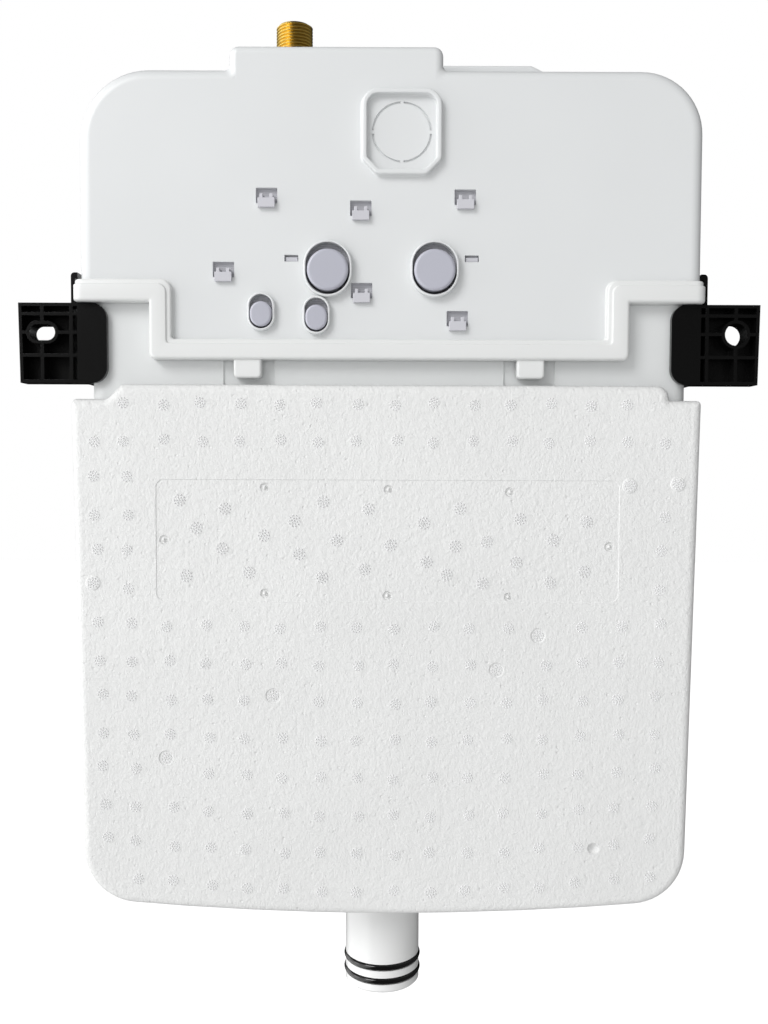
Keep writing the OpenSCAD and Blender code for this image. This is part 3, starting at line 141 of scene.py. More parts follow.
# Lower tank: white blow-moulded tank whose strip shows between hood and foam, with two shallow channels
# for the hood's clips. It is the CAD solid with its mould edges eased, in satin white plastic.
def moulded_plastic(name, colour, shade, gloss, grain, depth):
    """Moulded plastic on object coordinates: slow noise drifts the colour to shade and the gloss by a tenth,
    fine noise of the grain size (mm) raises the surface by depth (mm)."""
    paint = bpy.data.materials.new(name)
    paint.use_nodes = True
    nodes, links = paint.node_tree.nodes, paint.node_tree.links
    shader = nodes["Principled BSDF"]
    place = nodes.new("ShaderNodeTexCoord")
    drift = nodes.new("ShaderNodeTexNoise")
    drift.inputs["Scale"].default_value = 9.0
    drift.inputs["Detail"].default_value = 3.0
    tone = nodes.new("ShaderNodeValToRGB")
    tone.color_ramp.elements[0].position = 0.3
    tone.color_ramp.elements[0].color = (*shade, 1)
    tone.color_ramp.elements[1].position = 0.7
    tone.color_ramp.elements[1].color = (*colour, 1)
    fine = nodes.new("ShaderNodeTexNoise")
    fine.inputs["Scale"].default_value = 1000.0 / grain
    fine.inputs["Detail"].default_value = 2.0
    sheen = nodes.new("ShaderNodeMapRange")
    sheen.inputs["To Min"].default_value = gloss - 0.05
    sheen.inputs["To Max"].default_value = gloss + 0.05
    relief = nodes.new("ShaderNodeBump")
    relief.inputs["Strength"].default_value = 0.5
    relief.inputs["Distance"].default_value = depth / 1000.0
    links.new(place.outputs["Object"], drift.inputs["Vector"])
    links.new(place.outputs["Object"], fine.inputs["Vector"])
    links.new(drift.outputs["Fac"], tone.inputs["Fac"])
    links.new(tone.outputs["Color"], shader.inputs["Base Color"])
    links.new(drift.outputs["Fac"], sheen.inputs["Value"])
    links.new(sheen.outputs["Result"], shader.inputs["Roughness"])
    links.new(fine.outputs["Fac"], relief.inputs["Height"])
    links.new(relief.outputs["Normal"], shader.inputs["Normal"])
    return paint


def paint_nodes(paint, *names):
    """Gives each named CAD node the finish paint."""
    for name in names:
        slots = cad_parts[name].data.materials
        slots.clear()
        slots.append(paint)


def ease_edges(width, *names, clear=True):
    """Rounds the sharp edges of CAD nodes: weld the loose triangles, clear flat faces unless told not to, and
    bevel by width (mm)."""
    for name in names:
        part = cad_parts[name]
        weld = part.modifiers.new("weld", "WELD")
        weld.merge_threshold = 1e-5
        if clear:
            flat = part.modifiers.new("flat", "DECIMATE")
            flat.decimate_type = "DISSOLVE"
            flat.angle_limit = math.radians(0.5)
        edge = part.modifiers.new("edge", "BEVEL")
        edge.width = width / 1000.0
        edge.segments = 2
        edge.limit_method = "ANGLE"
        edge.angle_limit = math.radians(35)
        normal = part.modifiers.new("normal", "WEIGHTED_NORMAL")
        normal.keep_sharp = True


tank_white = moulded_plastic("tank_white_plastic", (0.725, 0.74, 0.74), (0.695, 0.71, 0.71), 0.42, 0.7, 0.02)
paint_nodes(tank_white, "lower_tank")
ease_edges(0.4, "lower_tank")

# Seals: black rubber in the tank's seam, under the inlet flange, under the valve base and on the flush valve.
# They are cut or moulded flat rings and strips, matt with a fine dusty grain.
seal_rubber = moulded_plastic("seal_rubber", (0.022, 0.022, 0.023), (0.03, 0.03, 0.03), 0.75, 0.5, 0.03)
paint_nodes(seal_rubber, "seam_seal", "inlet_seal", "base_seal", "valve_seal")

# Flush valve and fill valve: natural, white and lilac injection mouldings on steel pins, closed in the tank.
# They are the CAD solids in their own finishes.
natural_plastic = moulded_plastic("natural_plastic", (0.7, 0.71, 0.7), (0.64, 0.66, 0.65), 0.4, 0.5, 0.02)
lilac_plastic = moulded_plastic("lilac_plastic", (0.5, 0.5, 0.57), (0.46, 0.46, 0.53), 0.38, 0.6, 0.015)
inner_white = moulded_plastic("inner_white_plastic", (0.78, 0.79, 0.79), (0.74, 0.75, 0.76), 0.35, 0.6, 0.015)
drawn_steel = moulded_plastic("drawn_steel", (0.6, 0.6, 0.62), (0.5, 0.5, 0.52), 0.28, 0.3, 0.01)
drawn_steel.node_tree.nodes["Principled BSDF"].inputs["Metallic"].default_value = 1.0
paint_nodes(natural_plastic, "fill_valve_body", "fill_float", "valve_base", "base_nut", "valve_cage")
paint_nodes(natural_plastic, "full_rocker", "half_rocker")
paint_nodes(lilac_plastic, "fill_valve_clip", "float_lever", "full_lift_rod", "half_flush_float", "half_lift_rod")
paint_nodes(inner_white, "supply_tube", "refill_tube", "overflow_tube")
paint_nodes(drawn_steel, "lever_pin", "rocker_axle")
ease_edges(0.3, "base_nut", "valve_cage")

# Carrier plate: grey-lilac moulding behind the hood. Its snap hooks come out through the six windows and its
# two tongues fill the lock slots. The CAD solid with eased edges; the plate behind the hooks is darker than the hooks
# by painted shade.
carrier_lilac = moulded_plastic("carrier_lilac", (0.6, 0.6, 0.64), (0.57, 0.57, 0.61), 0.4, 0.6, 0.015)


def shade_by_depth(paint, near, far, dark, line=1.0, score=1.0):
    """Painted shade: multiplies the colour by dark where the distance from the wall is under far, rising to 1 at near
    (mm), and rules fine lines of the given pitch (mm) across the dark part, darker by the factor score."""
    nodes, links = paint.node_tree.nodes, paint.node_tree.links
    shader = nodes["Principled BSDF"]
    colour = shader.inputs["Base Color"].links[0].from_socket
    place = nodes.new("ShaderNodeTexCoord")
    parts = nodes.new("ShaderNodeSeparateXYZ")
    depth = nodes.new("ShaderNodeMapRange")
    depth.inputs["From Min"].default_value = -far / 1000.0
    depth.inputs["From Max"].default_value = -near / 1000.0
    ruled = nodes.new("ShaderNodeTexWave")
    ruled.bands_direction = "Z"
    ruled.inputs["Scale"].default_value = 1000.0 / line / 20.0 * 2 * math.pi
    ruled.inputs["Distortion"].default_value = 0.0
    rule = nodes.new("ShaderNodeMapRange")
    rule.inputs["To Min"].default_value = score * dark
    rule.inputs["To Max"].default_value = dark
    level = nodes.new("ShaderNodeMix")
    level.inputs["B"].default_value = 1.0
    shaded = nodes.new("ShaderNodeMix")
    shaded.data_type = "RGBA"
    shaded.blend_type = "MULTIPLY"
    shaded.inputs["Factor"].default_value = 1.0
    links.new(place.outputs["Object"], parts.inputs["Vector"])
    links.new(parts.outputs["Y"], depth.inputs["Value"])
    links.new(place.outputs["Object"], ruled.inputs["Vector"])
    links.new(ruled.outputs["Fac"], rule.inputs["Value"])
    links.new(depth.outputs["Result"], level.inputs["Factor"])
    links.new(rule.outputs["Result"], level.inputs["A"])
    links.new(colour, shaded.inputs["A"])
    links.new(level.outputs["Result"], shaded.inputs["B"])
    links.new(shaded.outputs["Result"], shader.inputs["Base Color"])


# Painted shade: the plate is darker, with fine lines ruled across it, where it lies deeper than the hooks.
shade_by_depth(carrier_lilac, 89.5, 87.5, 0.94, 1.1, 0.85)
paint_nodes(carrier_lilac, "carrier_plate")
ease_edges(0.3, "carrier_plate")


# Hood: white moulded cover. Its front plate carries four collars, six hook windows, two lock slots and the
# knock-out frame; a raised inlet housing and a low ledge stand on its shoulders. All edges are soft.
def soft_outline(corners, radii, inset=0.0, steps=10, ends=False, fixed=False):
    """Outline of straight sides joined by arcs, seen from the front. Each side moves to its left by inset; an arc's
    radius shrinks by inset on a left turn and grows by it on a right turn, unless fixed. ends leaves it open."""
    p = np.asarray(corners, float)
    ahead = np.roll(p, -1, 0) - p
    ahead /= np.linalg.norm(ahead, axis=1)[:, None]
    behind = np.roll(ahead, 1, 0)
    if ends:
        ahead[-1] = behind[-1]
        behind[0] = ahead[0]
    left_ahead = np.stack([-ahead[:, 1], ahead[:, 0]], 1)
    left_behind = np.stack([-behind[:, 1], behind[:, 0]], 1)
    turn = np.arctan2(behind[:, 0] * ahead[:, 1] - behind[:, 1] * ahead[:, 0], (behind * ahead).sum(1))
    way = np.sign(turn)
    r = np.asarray(radii, float) if fixed else np.maximum(np.asarray(radii, float) - way * inset, 1e-3)
    corner = p + inset * (left_ahead + left_behind) / (1 + (left_ahead * left_behind).sum(1))[:, None]
    centre = corner - behind * (r * np.tan(np.abs(turn) / 2))[:, None] + left_behind * (way * r)[:, None]
    angle = turn[:, None] * np.linspace(0, 1, steps)
    spoke = np.stack(
        [
            np.cos(angle) * left_behind[:, :1] - np.sin(angle) * left_behind[:, 1:],
            np.sin(angle) * left_behind[:, :1] + np.cos(angle) * left_behind[:, 1:],
        ],
        -1,
    )
    line = centre[:, None] - (way * r)[:, None, None] * spoke
    if ends:
        return np.concatenate([line[0, :1], line[1:-1].reshape(-1, 2), line[-1, :1]])
    return line.reshape(-1, 2)


def grid_faces(rows, columns, closed):
    """Quads between neighbouring rows of a grid of points; closed joins the last column to the first."""
    r, c = np.meshgrid(np.arange(rows - 1), np.arange(columns if closed else columns - 1), indexing="ij")
    n = (c + 1) % columns
    return np.stack([r * columns + c, (r + 1) * columns + c, (r + 1) * columns + n, r * columns + n], -1).reshape(-1, 4)


def in_room(line, f):
    """Front-view points (x, z) as points of the room at distance f from the wall."""
    return np.stack([line[:, 0], np.full(len(line), -float(f)), line[:, 1]], 1)


def carry(corners, radii, profile, steps=10, ends=False):
    """Profile of (inset, f) points carried along an outline: one ring of the outline for each profile point."""
    rings = [in_room(soft_outline(corners, radii, inset, steps, ends), f) for inset, f in profile]
    return np.concatenate(rings), grid_faces(len(rings), len(rings[0]), not ends)


def fill(loops, f, to_room=True):
    """Flat face at distance f bounded by the first loop, less the other loops, turned to the room or the wall."""
    flat = np.concatenate(loops)
    tri = np.array(tessellate_polygon([[(x, z, 0.0) for x, z in loop] for loop in loops]))
    a, b, c = flat[tri[:, 0]], flat[tri[:, 1]], flat[tri[:, 2]]
    area = (b[:, 0] - a[:, 0]) * (c[:, 1] - a[:, 1]) - (b[:, 1] - a[:, 1]) * (c[:, 0] - a[:, 0])
    wrong = (area < 0) == to_room
    tri[wrong] = tri[wrong][:, ::-1]
    return in_room(flat, f), tri


def bend(inset, f, r, start, stop, steps=6):
    """Arc of a profile: points at radius r round (inset, f), by angle in degrees; 0 is outwards, 90 to the room."""
    a = np.radians(np.linspace(start, stop, steps))
    return list(zip(inset - r * np.cos(a), f + r * np.sin(a)))


def box_corners(x, z, w, h):
    """Corners of an upright rectangle about (x, z), in turn to the left."""
    return [(x - w / 2, z - h / 2), (x + w / 2, z - h / 2), (x + w / 2, z + h / 2), (x - w / 2, z + h / 2)]


def round_ends(w):
    """Corner radii that give a shape w wide round ends: half the width, less a hair so that the arcs don't meet."""
    return [w / 2 - 0.001] * 4


def make_piece(name, parts, body, paint):
    """One mesh of several (points, faces) parts in millimetres, riding on a CAD body. Faces of four corners are
    smooth, the others flat."""
    starts = np.cumsum([0] + [len(points) for points, _ in parts])
    faces = [face for (_, quads), start in zip(parts, starts) for face in (np.asarray(quads) + start).tolist()]
    mesh = bpy.data.meshes.new(name)
    mesh.from_pydata((np.concatenate([points for points, _ in parts]) / 1000.0).tolist(), [], faces)
    mesh.polygons.foreach_set("use_smooth", [len(face) == 4 for face in faces])
    mesh.materials.append(paint)
    piece = bpy.data.objects.new(name, mesh)
    bpy.context.scene.collection.objects.link(piece)
    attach(piece, body)
    return piece


hood_left, hood_right, hood_front, hood_top, hood_low = -169.0, 170.5, 90.0, 142.2, 21.5
hood_path = [(hood_right, hood_low), (hood_right, hood_top), (hood_left, hood_top), (hood_left, hood_low)]
hood_radii = [0, 34, 38, 0]
hood_edge, hood_inset = 6.5, 7.1
hood_profile = (
    [(hood_inset, hood_front)]
    + bend(hood_edge, hood_front - hood_edge, hood_edge, 90, 0, 9)
    + bend(hood_edge, hood_edge, hood_edge, 0, -90, 9)
    + [(hood_inset, 0)]
)
hood_parts = [carry(hood_path, hood_radii, hood_profile, 16, True)]
hood_rim = soft_outline(hood_path, hood_radii, hood_inset, 16, True)
hood_parts.append(fill([hood_rim], 0, False))

front_holes = []
plate_back, opening_ease = 86.9, 0.1
window_w, window_h, window_r = 11.6, 8.3, 0.4
slot_w, slot_h, slot_r, slot_z = 7.6, 3.6, 0.3, 40.4
opening_profile = [(0, plate_back)] + bend(-opening_ease, hood_front - opening_ease, opening_ease, 180, 90, 3)
for x, top in ((-66.7, 78.1), (-15.6, 71.4), (41, 77.5), (-90.2, 38.3), (-15.1, 27.2), (37.1, 12.2)):
    window = box_corners(x, top - window_h / 2, window_w, window_h)
    hood_parts.append(carry(window, [window_r] * 4, opening_profile, 4))
    front_holes.append(soft_outline(window, [window_r] * 4, -opening_ease, 4))
for x in (-53.3, 44.8):
    slot_hole = box_corners(x, slot_z, slot_w, slot_h)
    hood_parts.append(carry(slot_hole, [slot_r] * 4, opening_profile, 4))
    front_holes.append(soft_outline(slot_hole, [slot_r] * 4, -opening_ease, 4))

full_x, half_x, left_x, right_x = -33.4, 24.5, -69.6, -39.6
collar_rim, collar_foot, mouth_ease, rim_ease = 1.25, 0.1, 0.45, 0.8
collar_out = collar_rim + collar_foot
for x, z, w, h, top in (
    (full_x, 34.4, 23.9, 27.9, 94.5),
    (half_x, 34.4, 23.9, 27.9, 94.5),
    (left_x, 11.3, 12.5, 18.3, 93.5),
    (right_x, 9.5, 12.5, 18.3, 93.5),
):
    mouth = box_corners(x, z, w, h)
    collar_profile = (
        [(0, plate_back), (0, top - mouth_ease)]
        + bend(-mouth_ease, top - mouth_ease, mouth_ease, 180, 90, 4)
        + bend(rim_ease - collar_rim, top - rim_ease, rim_ease, 90, 0, 6)
        + bend(-collar_out, hood_front + collar_foot, collar_foot, 180, 270, 6)
    )
    hood_parts.append(carry(mouth, round_ends(w), collar_profile, 14))
    front_holes.append(soft_outline(mouth, round_ends(w), -collar_out, 14))

knock_x, knock_z, knock_w, knock_h, knock_cut = 6.5, 107.5, 21.5, 22.75, 8.0
knock_frame = [
    (knock_x - knock_w, knock_z - knock_h + knock_cut),
    (knock_x - knock_w + knock_cut, knock_z - knock_h),
    (knock_x + knock_w - knock_cut, knock_z - knock_h),
    (knock_x + knock_w, knock_z - knock_h + knock_cut),
    (knock_x + knock_w, knock_z + knock_h),
    (knock_x - knock_w, knock_z + knock_h),
]
knock_radii, knock_in, knock_out = [5, 5, 5, 5, 9, 9], 3.2, -1.0
knock_profile = (
    bend(knock_in, hood_front + 0.6, 0.6, 270, 360, 4)
    + bend(2.0, hood_front + 3.4, 0.6, 180, 90, 5)
    + bend(0.9, hood_front + 3.1, 0.9, 90, 0, 5)
    + bend(knock_out, hood_front + 1.0, 1.0, 180, 270, 5)
)
hood_parts.append(carry(knock_frame, knock_radii, knock_profile, 10))
front_holes.append(soft_outline(knock_frame, knock_radii, knock_out, 10))
score_z, score_r, score_w, score_deep = knock_z + 0.5, 16.3, 1.2, 1.1
score_disc = box_corners(knock_x, score_z, 2 * score_r, 2 * score_r)
score_radii = round_ends(2 * score_r)
score_profile = [
    (score_w, hood_front),
    (score_w, hood_front - score_deep),
    (0, hood_front - score_deep),
    (0, hood_front),
]
hood_parts.append(carry(score_disc, score_radii, score_profile, 20))
hood_parts.append(fill([soft_outline(score_disc, score_radii, score_w, 20)], hood_front))
knock_floor = [soft_outline(knock_frame, knock_radii, knock_in, 10), soft_outline(score_disc, score_radii, 0, 20)]
hood_parts.append(fill(knock_floor, hood_front))
bridge_half = np.radians(np.linspace(-3.4, 3.4, 5))
for quarter in range(4):
    bridge_angle = bridge_half + quarter * math.pi / 2
    spoke = np.stack([np.cos(bridge_angle), np.sin(bridge_angle)], 1)
    bridge = np.concatenate([spoke * (score_r - score_w), spoke * score_r]) + (knock_x, score_z)
    hood_parts.append((in_room(bridge, hood_front), grid_faces(2, len(spoke), False)))
step_half, step_low = 125, -9.5
step_line = np.array([(-step_half, hood_low), (-step_half, step_low), (step_half, step_low), (step_half, hood_low)])
hood_parts.append(fill([np.concatenate([hood_rim, step_line])] + front_holes, hood_front))

housing_front, housing_back, housing_edge, housing_inset = hood_front - 0.02, 0.02, 4.0, 4.4
housing_left, housing_right, housing_top, housing_low = -87.0, 28.8, 154.2, 130.0
housing_path = [
    (housing_right, housing_low),
    (housing_right, housing_top),
    (housing_left, housing_top),
    (housing_left, housing_low),
]
housing_radii = [0, 5, 5, 0]
housing_profile = (
    [(housing_inset, housing_front)]
    + bend(housing_edge, housing_front - housing_edge, housing_edge, 90, 0)
    + bend(housing_edge, housing_back + housing_edge, housing_edge, 0, -90)
    + [(housing_inset, housing_back)]
)
housing_rim = soft_outline(housing_path, housing_radii, housing_inset, 8, True)
hood_parts.append(carry(housing_path, housing_radii, housing_profile, 8, True))
hood_parts.append(fill([housing_rim], housing_front))
hood_parts.append(fill([housing_rim], housing_back, False))


def edge_drop(along, front, edge):
    """Change of height on a rounded edge at the distance along from the wall: none until edge short of the front,
    then down as a circle of that radius."""
    return np.sqrt(np.maximum(edge**2 - np.maximum(along - front + edge, 0) ** 2, 0)) - edge


def foot_fillet(side_x, way, r, sunk=0.05):
    """Hollow round of radius r where the housing's side stands on the shoulder, sunk a little into both. It runs
    from back to front, and there it sinks with the shoulder's rounded edge until it lies in the front plate."""
    round_edge = hood_front - hood_edge + hood_edge * np.sin(np.linspace(0, math.pi / 2 - 0.03, 14))
    along = np.concatenate([[6.0], round_edge])[:, None]
    a = np.linspace(0, math.pi / 2, 7)[::way]
    x = side_x + way * (edge_drop(along, housing_front, housing_edge) - sunk + r * (1 - np.sin(a)))
    z = hood_top + edge_drop(along, hood_front, hood_edge) - sunk + r * (1 - np.cos(a))
    points = np.stack([x, -along + 0 * x, z], -1).reshape(-1, 3)
    return points, grid_faces(len(along), len(a), False)


foot_r = 3.2
hood_parts.append(foot_fillet(housing_right, 1, foot_r))
hood_parts.append(foot_fillet(housing_left, -1, foot_r))
ledge = [(26, 139), (94, 139), (94, 147.5), (80, 154.1), (26, 154.1)]
ledge_radii, ledge_front, ledge_back, ledge_edge, ledge_inset = [1, 1, 2, 4, 1], 62, 18, 1.5, 1.9
ledge_profile = (
    [(ledge_inset, ledge_front)]
    + bend(ledge_edge, ledge_front - ledge_edge, ledge_edge, 90, 0, 4)
    + bend(ledge_edge, ledge_back + ledge_edge, ledge_edge, 0, -90, 4)
    + [(ledge_inset, ledge_back)]
)
ledge_rim = soft_outline(ledge, ledge_radii, ledge_inset, 5)
hood_parts.append(carry(ledge, ledge_radii, ledge_profile, 5))
hood_parts.append(fill([ledge_rim], ledge_front))
hood_parts.append(fill([ledge_rim], ledge_back, False))
hood_white = moulded_plastic("hood_white_plastic", (0.735, 0.75, 0.755), (0.715, 0.73, 0.735), 0.36, 0.8, 0.012)
hood = make_piece("hood", hood_parts, "cistern", hood_white)
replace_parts(hood, "top_cover")

# Lip: the hood's stepped edge, a flat rounded band with a lower strip along its inner side. It follows the
# seam across the front, wraps the front corners and runs back along both sides; two clip tabs hang from it.
lip_low, lip_sill, lip_half, lip_front, lip_side, lip_corner = 16.4, -14.6, 130.1, 95.0, 172.0, 6.0
lip_flat = lip_side - lip_corner
lip_turned = lip_flat + lip_corner * math.pi / 2
lip_end = lip_turned + 80.0
lip_back, lip_edge = 86.4, 2.0
lip_profile = np.array(
    bend(12.6, 90.6, 0.6, 270, 360, 4)
    + bend(10.9, 92.9, 1.1, 180, 90, 5)
    + [(9.7, 94.0), (9.5, 94.08), (9.4, 94.25)]
    + bend(8.7, 94.3, 0.7, 180, 90, 5)
    + bend(lip_edge, lip_front - lip_edge, lip_edge, 90, 0, 7)
    + [(0, lip_back)]
)


def lip_surface(profile):
    """Band along the stepped seam: each profile point runs parallel to the seam with its own corner radii, then
    the line is bent round the front corners: an arc in plan, then straight back along the side."""
    inner_back, inner_reach = 7.5, -1.5
    u_end = np.concatenate([[lip_flat], np.linspace(lip_flat, lip_turned, 9)[1:], [lip_end, lip_end]])
    rows = []
    for across, f in profile:
        sill = lip_sill - 0.1 * across
        seam_left = [(-lip_end, lip_low), (-lip_half, lip_low), (-lip_half, sill)]
        seam = seam_left + [(-x, z) for x, z in seam_left[::-1]]
        top_r, low_r = 0.6 + 0.42 * np.clip(across, 0, 12), 3.0 - 0.1 * np.clip(across, 0, 12)
        line = soft_outline(seam, [0, top_r, low_r, low_r, top_r, 0], across, 9, True, True)[1:-1]
        level = np.full(len(u_end), lip_low + across)
        u = np.concatenate([-u_end[::-1], line[:, 0], u_end])
        z = np.concatenate([level, line[:, 1], level])
        deep = np.full(len(u), lip_front - f)
        deep[[0, -1]] = inner_back
        past = np.clip((np.abs(u) - lip_flat) / lip_corner, 0, math.pi / 2)
        back = np.clip(np.abs(u) - lip_turned, 0, None)
        side_reach = np.maximum(lip_corner - np.minimum(deep, inner_back), inner_reach)
        reach = np.where(np.abs(u) > lip_flat, side_reach, lip_corner - deep)
        x = np.sign(u) * (np.minimum(np.abs(u), lip_flat) + reach * np.sin(past))
        depth = lip_front - lip_corner + reach * np.cos(past) - back
        rows.append(np.stack([x, -depth, z], 1))
    return np.concatenate(rows), grid_faces(len(rows), len(rows[0]), False)


lip_parts = [lip_surface(lip_profile)]
tab_x, tab_z, tab_w, tab_h, tab_front, tab_edge, tab_inset = 77, -18.8, 15, 11.6, 93, 1.2, 1.6
tab_radii = [2.2] * 4
tab_profile = [(tab_inset, tab_front)] + bend(tab_edge, tab_front - tab_edge, tab_edge, 90, 0, 5) + [(0, lip_back)]
for x in (-tab_x, tab_x):
    tab = box_corners(x, tab_z, tab_w, tab_h)
    lip_parts.append(carry(tab, tab_radii, tab_profile, 6))
    lip_parts.append(fill([soft_outline(tab, tab_radii, tab_inset, 6)], tab_front))
lip_white = moulded_plastic("lip_white_plastic", (0.775, 0.785, 0.78), (0.755, 0.765, 0.76), 0.34, 0.8, 0.012)
lip = make_piece("hood_lip", lip_parts, "cistern", lip_white)
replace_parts(lip, "top_cover")

# Flush pads: two round push pads of grey-lilac plastic with a soft bevel, each on a round stem with a ball end
# that works its rocker. They stand a little out of their collars.
pad_lilac = moulded_plastic("pad_lilac_plastic", (0.485, 0.49, 0.555), (0.465, 0.47, 0.535), 0.3, 0.5, 0.01)
pad_z, pad_d, pad_front, pad_back, pad_bevel, pad_inset = 33.6, 22.5, 95.7, 87.5, 1.7, 2.6
ball_f, ball_r = 70, 4
stem_inset = pad_d / 2 - ball_r
pad_profile = (
    [(pad_inset, pad_front), (2.1, pad_front)]
    + bend(pad_bevel, pad_front - pad_bevel, pad_bevel, 90, 5, 8)
    + [(0, 93.4), (0, pad_back + 0.4), (0.4, pad_back), (6.9, pad_back), (stem_inset, 87.2), (stem_inset, ball_f)]
    + bend(pad_d / 2, ball_f, ball_r, 0, -88, 7)
)
for name, body, x in (("full_flush_pad", "full_pad", full_x), ("half_flush_pad", "half_pad", half_x)):
    disc = box_corners(x, pad_z, pad_d, pad_d)
    rims = round_ends(pad_d)
    pad = make_piece(
        name + "_face",
        [carry(disc, rims, pad_profile, 16), fill([soft_outline(disc, rims, pad_inset, 16)], pad_front)],
        body,
        pad_lilac,
    )
    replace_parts(pad, name)

# Release pads: two small round-ended pads of the same plastic, each on a thin stem. They press the fill valve clip.
# Moulded in one piece, bevelled round the face.
left_z, right_z, release_w, release_h = 9.9, 8.1, 11.8, 13.6
release_front, release_back, release_bevel, release_inset = 94.7, 86.5, 1.3, 2.0
stem_d, stem_end = 6, 71.25
release_profile = (
    [(release_inset, release_front), (1.6, release_front)]
    + bend(release_bevel, release_front - release_bevel, release_bevel, 90, 5, 7)
    + [(0, 93), (0, release_back + 0.4), (0.4, release_back), (5.7, release_back)]
)
stem_profile = [(0, release_back + 0.3), (0, stem_end)] + bend(stem_d / 2, stem_end, stem_d / 2, 0, -88, 6)
for name, body, x, z in (
    ("release_pad_left", "left_release", left_x, left_z),
    ("release_pad_right", "right_release", right_x, right_z),
):
    disc = box_corners(x, z, release_w, release_h)
    rims = round_ends(release_w)
    pad = make_piece(
        name + "_face",
        [
            carry(disc, rims, release_profile, 12),
            fill([soft_outline(disc, rims, release_inset, 12)], release_front),
            carry(box_corners(x, z, stem_d, stem_d), round_ends(stem_d), stem_profile, 8),
        ],
        body,
        pad_lilac,
    )
    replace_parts(pad, name)

# Return springs: steel wire wound in four turns round each stem, between the carrier's sleeve and the back of
# the pad.
wire_r, coil_turns, coil_ease = 0.35, 4, 0.2


def coil(x, z, seat, back, r):
    """Round wire carried along a helix about a pad's axis, from seat to the pad's back: the angle and the climb
    grow evenly, and the wire's own circle stands across the helix. Both ends are cut flat."""
    turn = np.linspace(0, 2 * math.pi * coil_turns, 16 * coil_turns + 1)[:, None]
    side = np.linspace(0, 2 * math.pi, 9)[:-1]
    first, last = seat + wire_r + coil_ease, back - wire_r - coil_ease
    reach = r + wire_r * np.cos(side)
    f = first + (last - first) * turn / turn[-1] + wire_r * np.sin(side)
    points = np.stack([x + reach * np.cos(turn), -f, z + reach * np.sin(turn)], -1).reshape(-1, 3)
    end = np.arange(len(side))[None]
    wire = points, grid_faces(len(turn), len(side), True)
    return [wire, (points[: len(side)], end), (points[-len(side) :], end[:, ::-1])]


for name, joint, x, z, seat, back, r, closed in (
    ("full_pad_spring", "full_pad_push", full_x, pad_z, 74.9, pad_back, 4.65, 0.27),
    ("half_pad_spring", "half_pad_push", half_x, pad_z, 74.9, pad_back, 4.65, 0.27),
    ("release_spring_left", "left_release_push", left_x, left_z, 77.9, release_back, 3.65, 0.4),
    ("release_spring_right", "right_release_push", right_x, right_z, 77.9, release_back, 3.65, 0.4),
):
    spring = make_piece(name + "_coil", coil(x, z, seat, back, r), "cistern", drawn_steel)
    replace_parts(spring, name)
    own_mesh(spring)

# Inlet nipple: machined brass with a half-inch pipe thread, flanged under the housing's roof and held by a brass
# hexagon nut. It is turned from bar, so its finish runs round it.
inlet_x, inlet_f, thread_r, thread_deep, thread_pitch = -55.2, 45.0, 10.4775, 1.1, 1.814
thread_low, thread_top, thread_core = 163.2, 181.0, thread_r - thread_deep
bore_r, tail_r, flange_r = 6, 8.2, 14.98
tail_end, flange_low, flange_top, inlet_top = 136.2, 146.2, 149.2, 181.5
turn_angle = np.linspace(0, 2 * math.pi, 97)[:-1]


def turned(r, z):
    """Surface of revolution about the inlet's axis: r and z give the section, r may also change round the axis."""
    r, z = np.broadcast_arrays(np.asarray(r, float), np.asarray(z, float))
    points = np.stack([inlet_x + r * np.cos(turn_angle), -inlet_f + r * np.sin(turn_angle), z], -1)
    faces = grid_faces(len(r), len(turn_angle), True)[:, ::-1]
    return points.reshape(-1, 3), faces


thread_z = np.linspace(thread_low, thread_top, 110)[:, None]
phase = (thread_z / thread_pitch - turn_angle / (2 * math.pi)) % 1.0
groove = np.clip(np.abs(phase - 0.5) * 2.6 - 0.2, 0, 1)
fade = np.clip((thread_z - thread_low) / 1.0, 0, 1) * np.clip((thread_top - thread_z) / 0.3, 0, 1)
thread = turned(thread_r - thread_deep * (1 - fade * (1 - groove)), thread_z + 0 * phase)
section = np.array([
    (bore_r, tail_end),
    (tail_r, tail_end),
    (tail_r, flange_low),
    (flange_r, flange_low),
    (flange_r, flange_top),
    (thread_r, flange_top),
    (thread_r, thread_low - 2.0),
    (thread_core, thread_low - 1.8),
    (thread_core, thread_low),
])
crown = np.array([
    (thread_core, thread_top),
    (8.9, inlet_top),
    (bore_r + 0.5, inlet_top),
    (bore_r, inlet_top - 0.5),
    (bore_r, tail_end),
])
inlet_parts = [
    turned(section[:, :1] + 0 * turn_angle, section[:, 1:] + 0 * turn_angle),
    thread,
    turned(crown[:, :1] + 0 * turn_angle, crown[:, 1:] + 0 * turn_angle),
]
inlet_brass = moulded_plastic("machined_brass", (0.64, 0.45, 0.11), (0.54, 0.36, 0.075), 0.32, 0.4, 0.01)
inlet_brass.node_tree.nodes["Principled BSDF"].inputs["Metallic"].default_value = 1.0
nipple = make_piece("threaded_nipple", inlet_parts, "cistern", inlet_brass)
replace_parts(nipple, "inlet_nipple")
paint_nodes(inlet_brass, "inlet_lock_nut")
ease_edges(0.5, "inlet_lock_nut")

# Brackets: two black ribbed mouldings that hook over the hood's lip and lap the tank's front. The left has a slot
# and the right a round hole. The CAD solids with eased edges, in satin black plastic.
bracket_black = moulded_plastic("bracket_black_plastic", (0.0035,) * 3, (0.005,) * 3, 0.24, 0.6, 0.01)
paint_nodes(bracket_black, "bracket_left", "bracket_right")
ease_edges(0.35, "bracket_left", "bracket_right", clear=False)

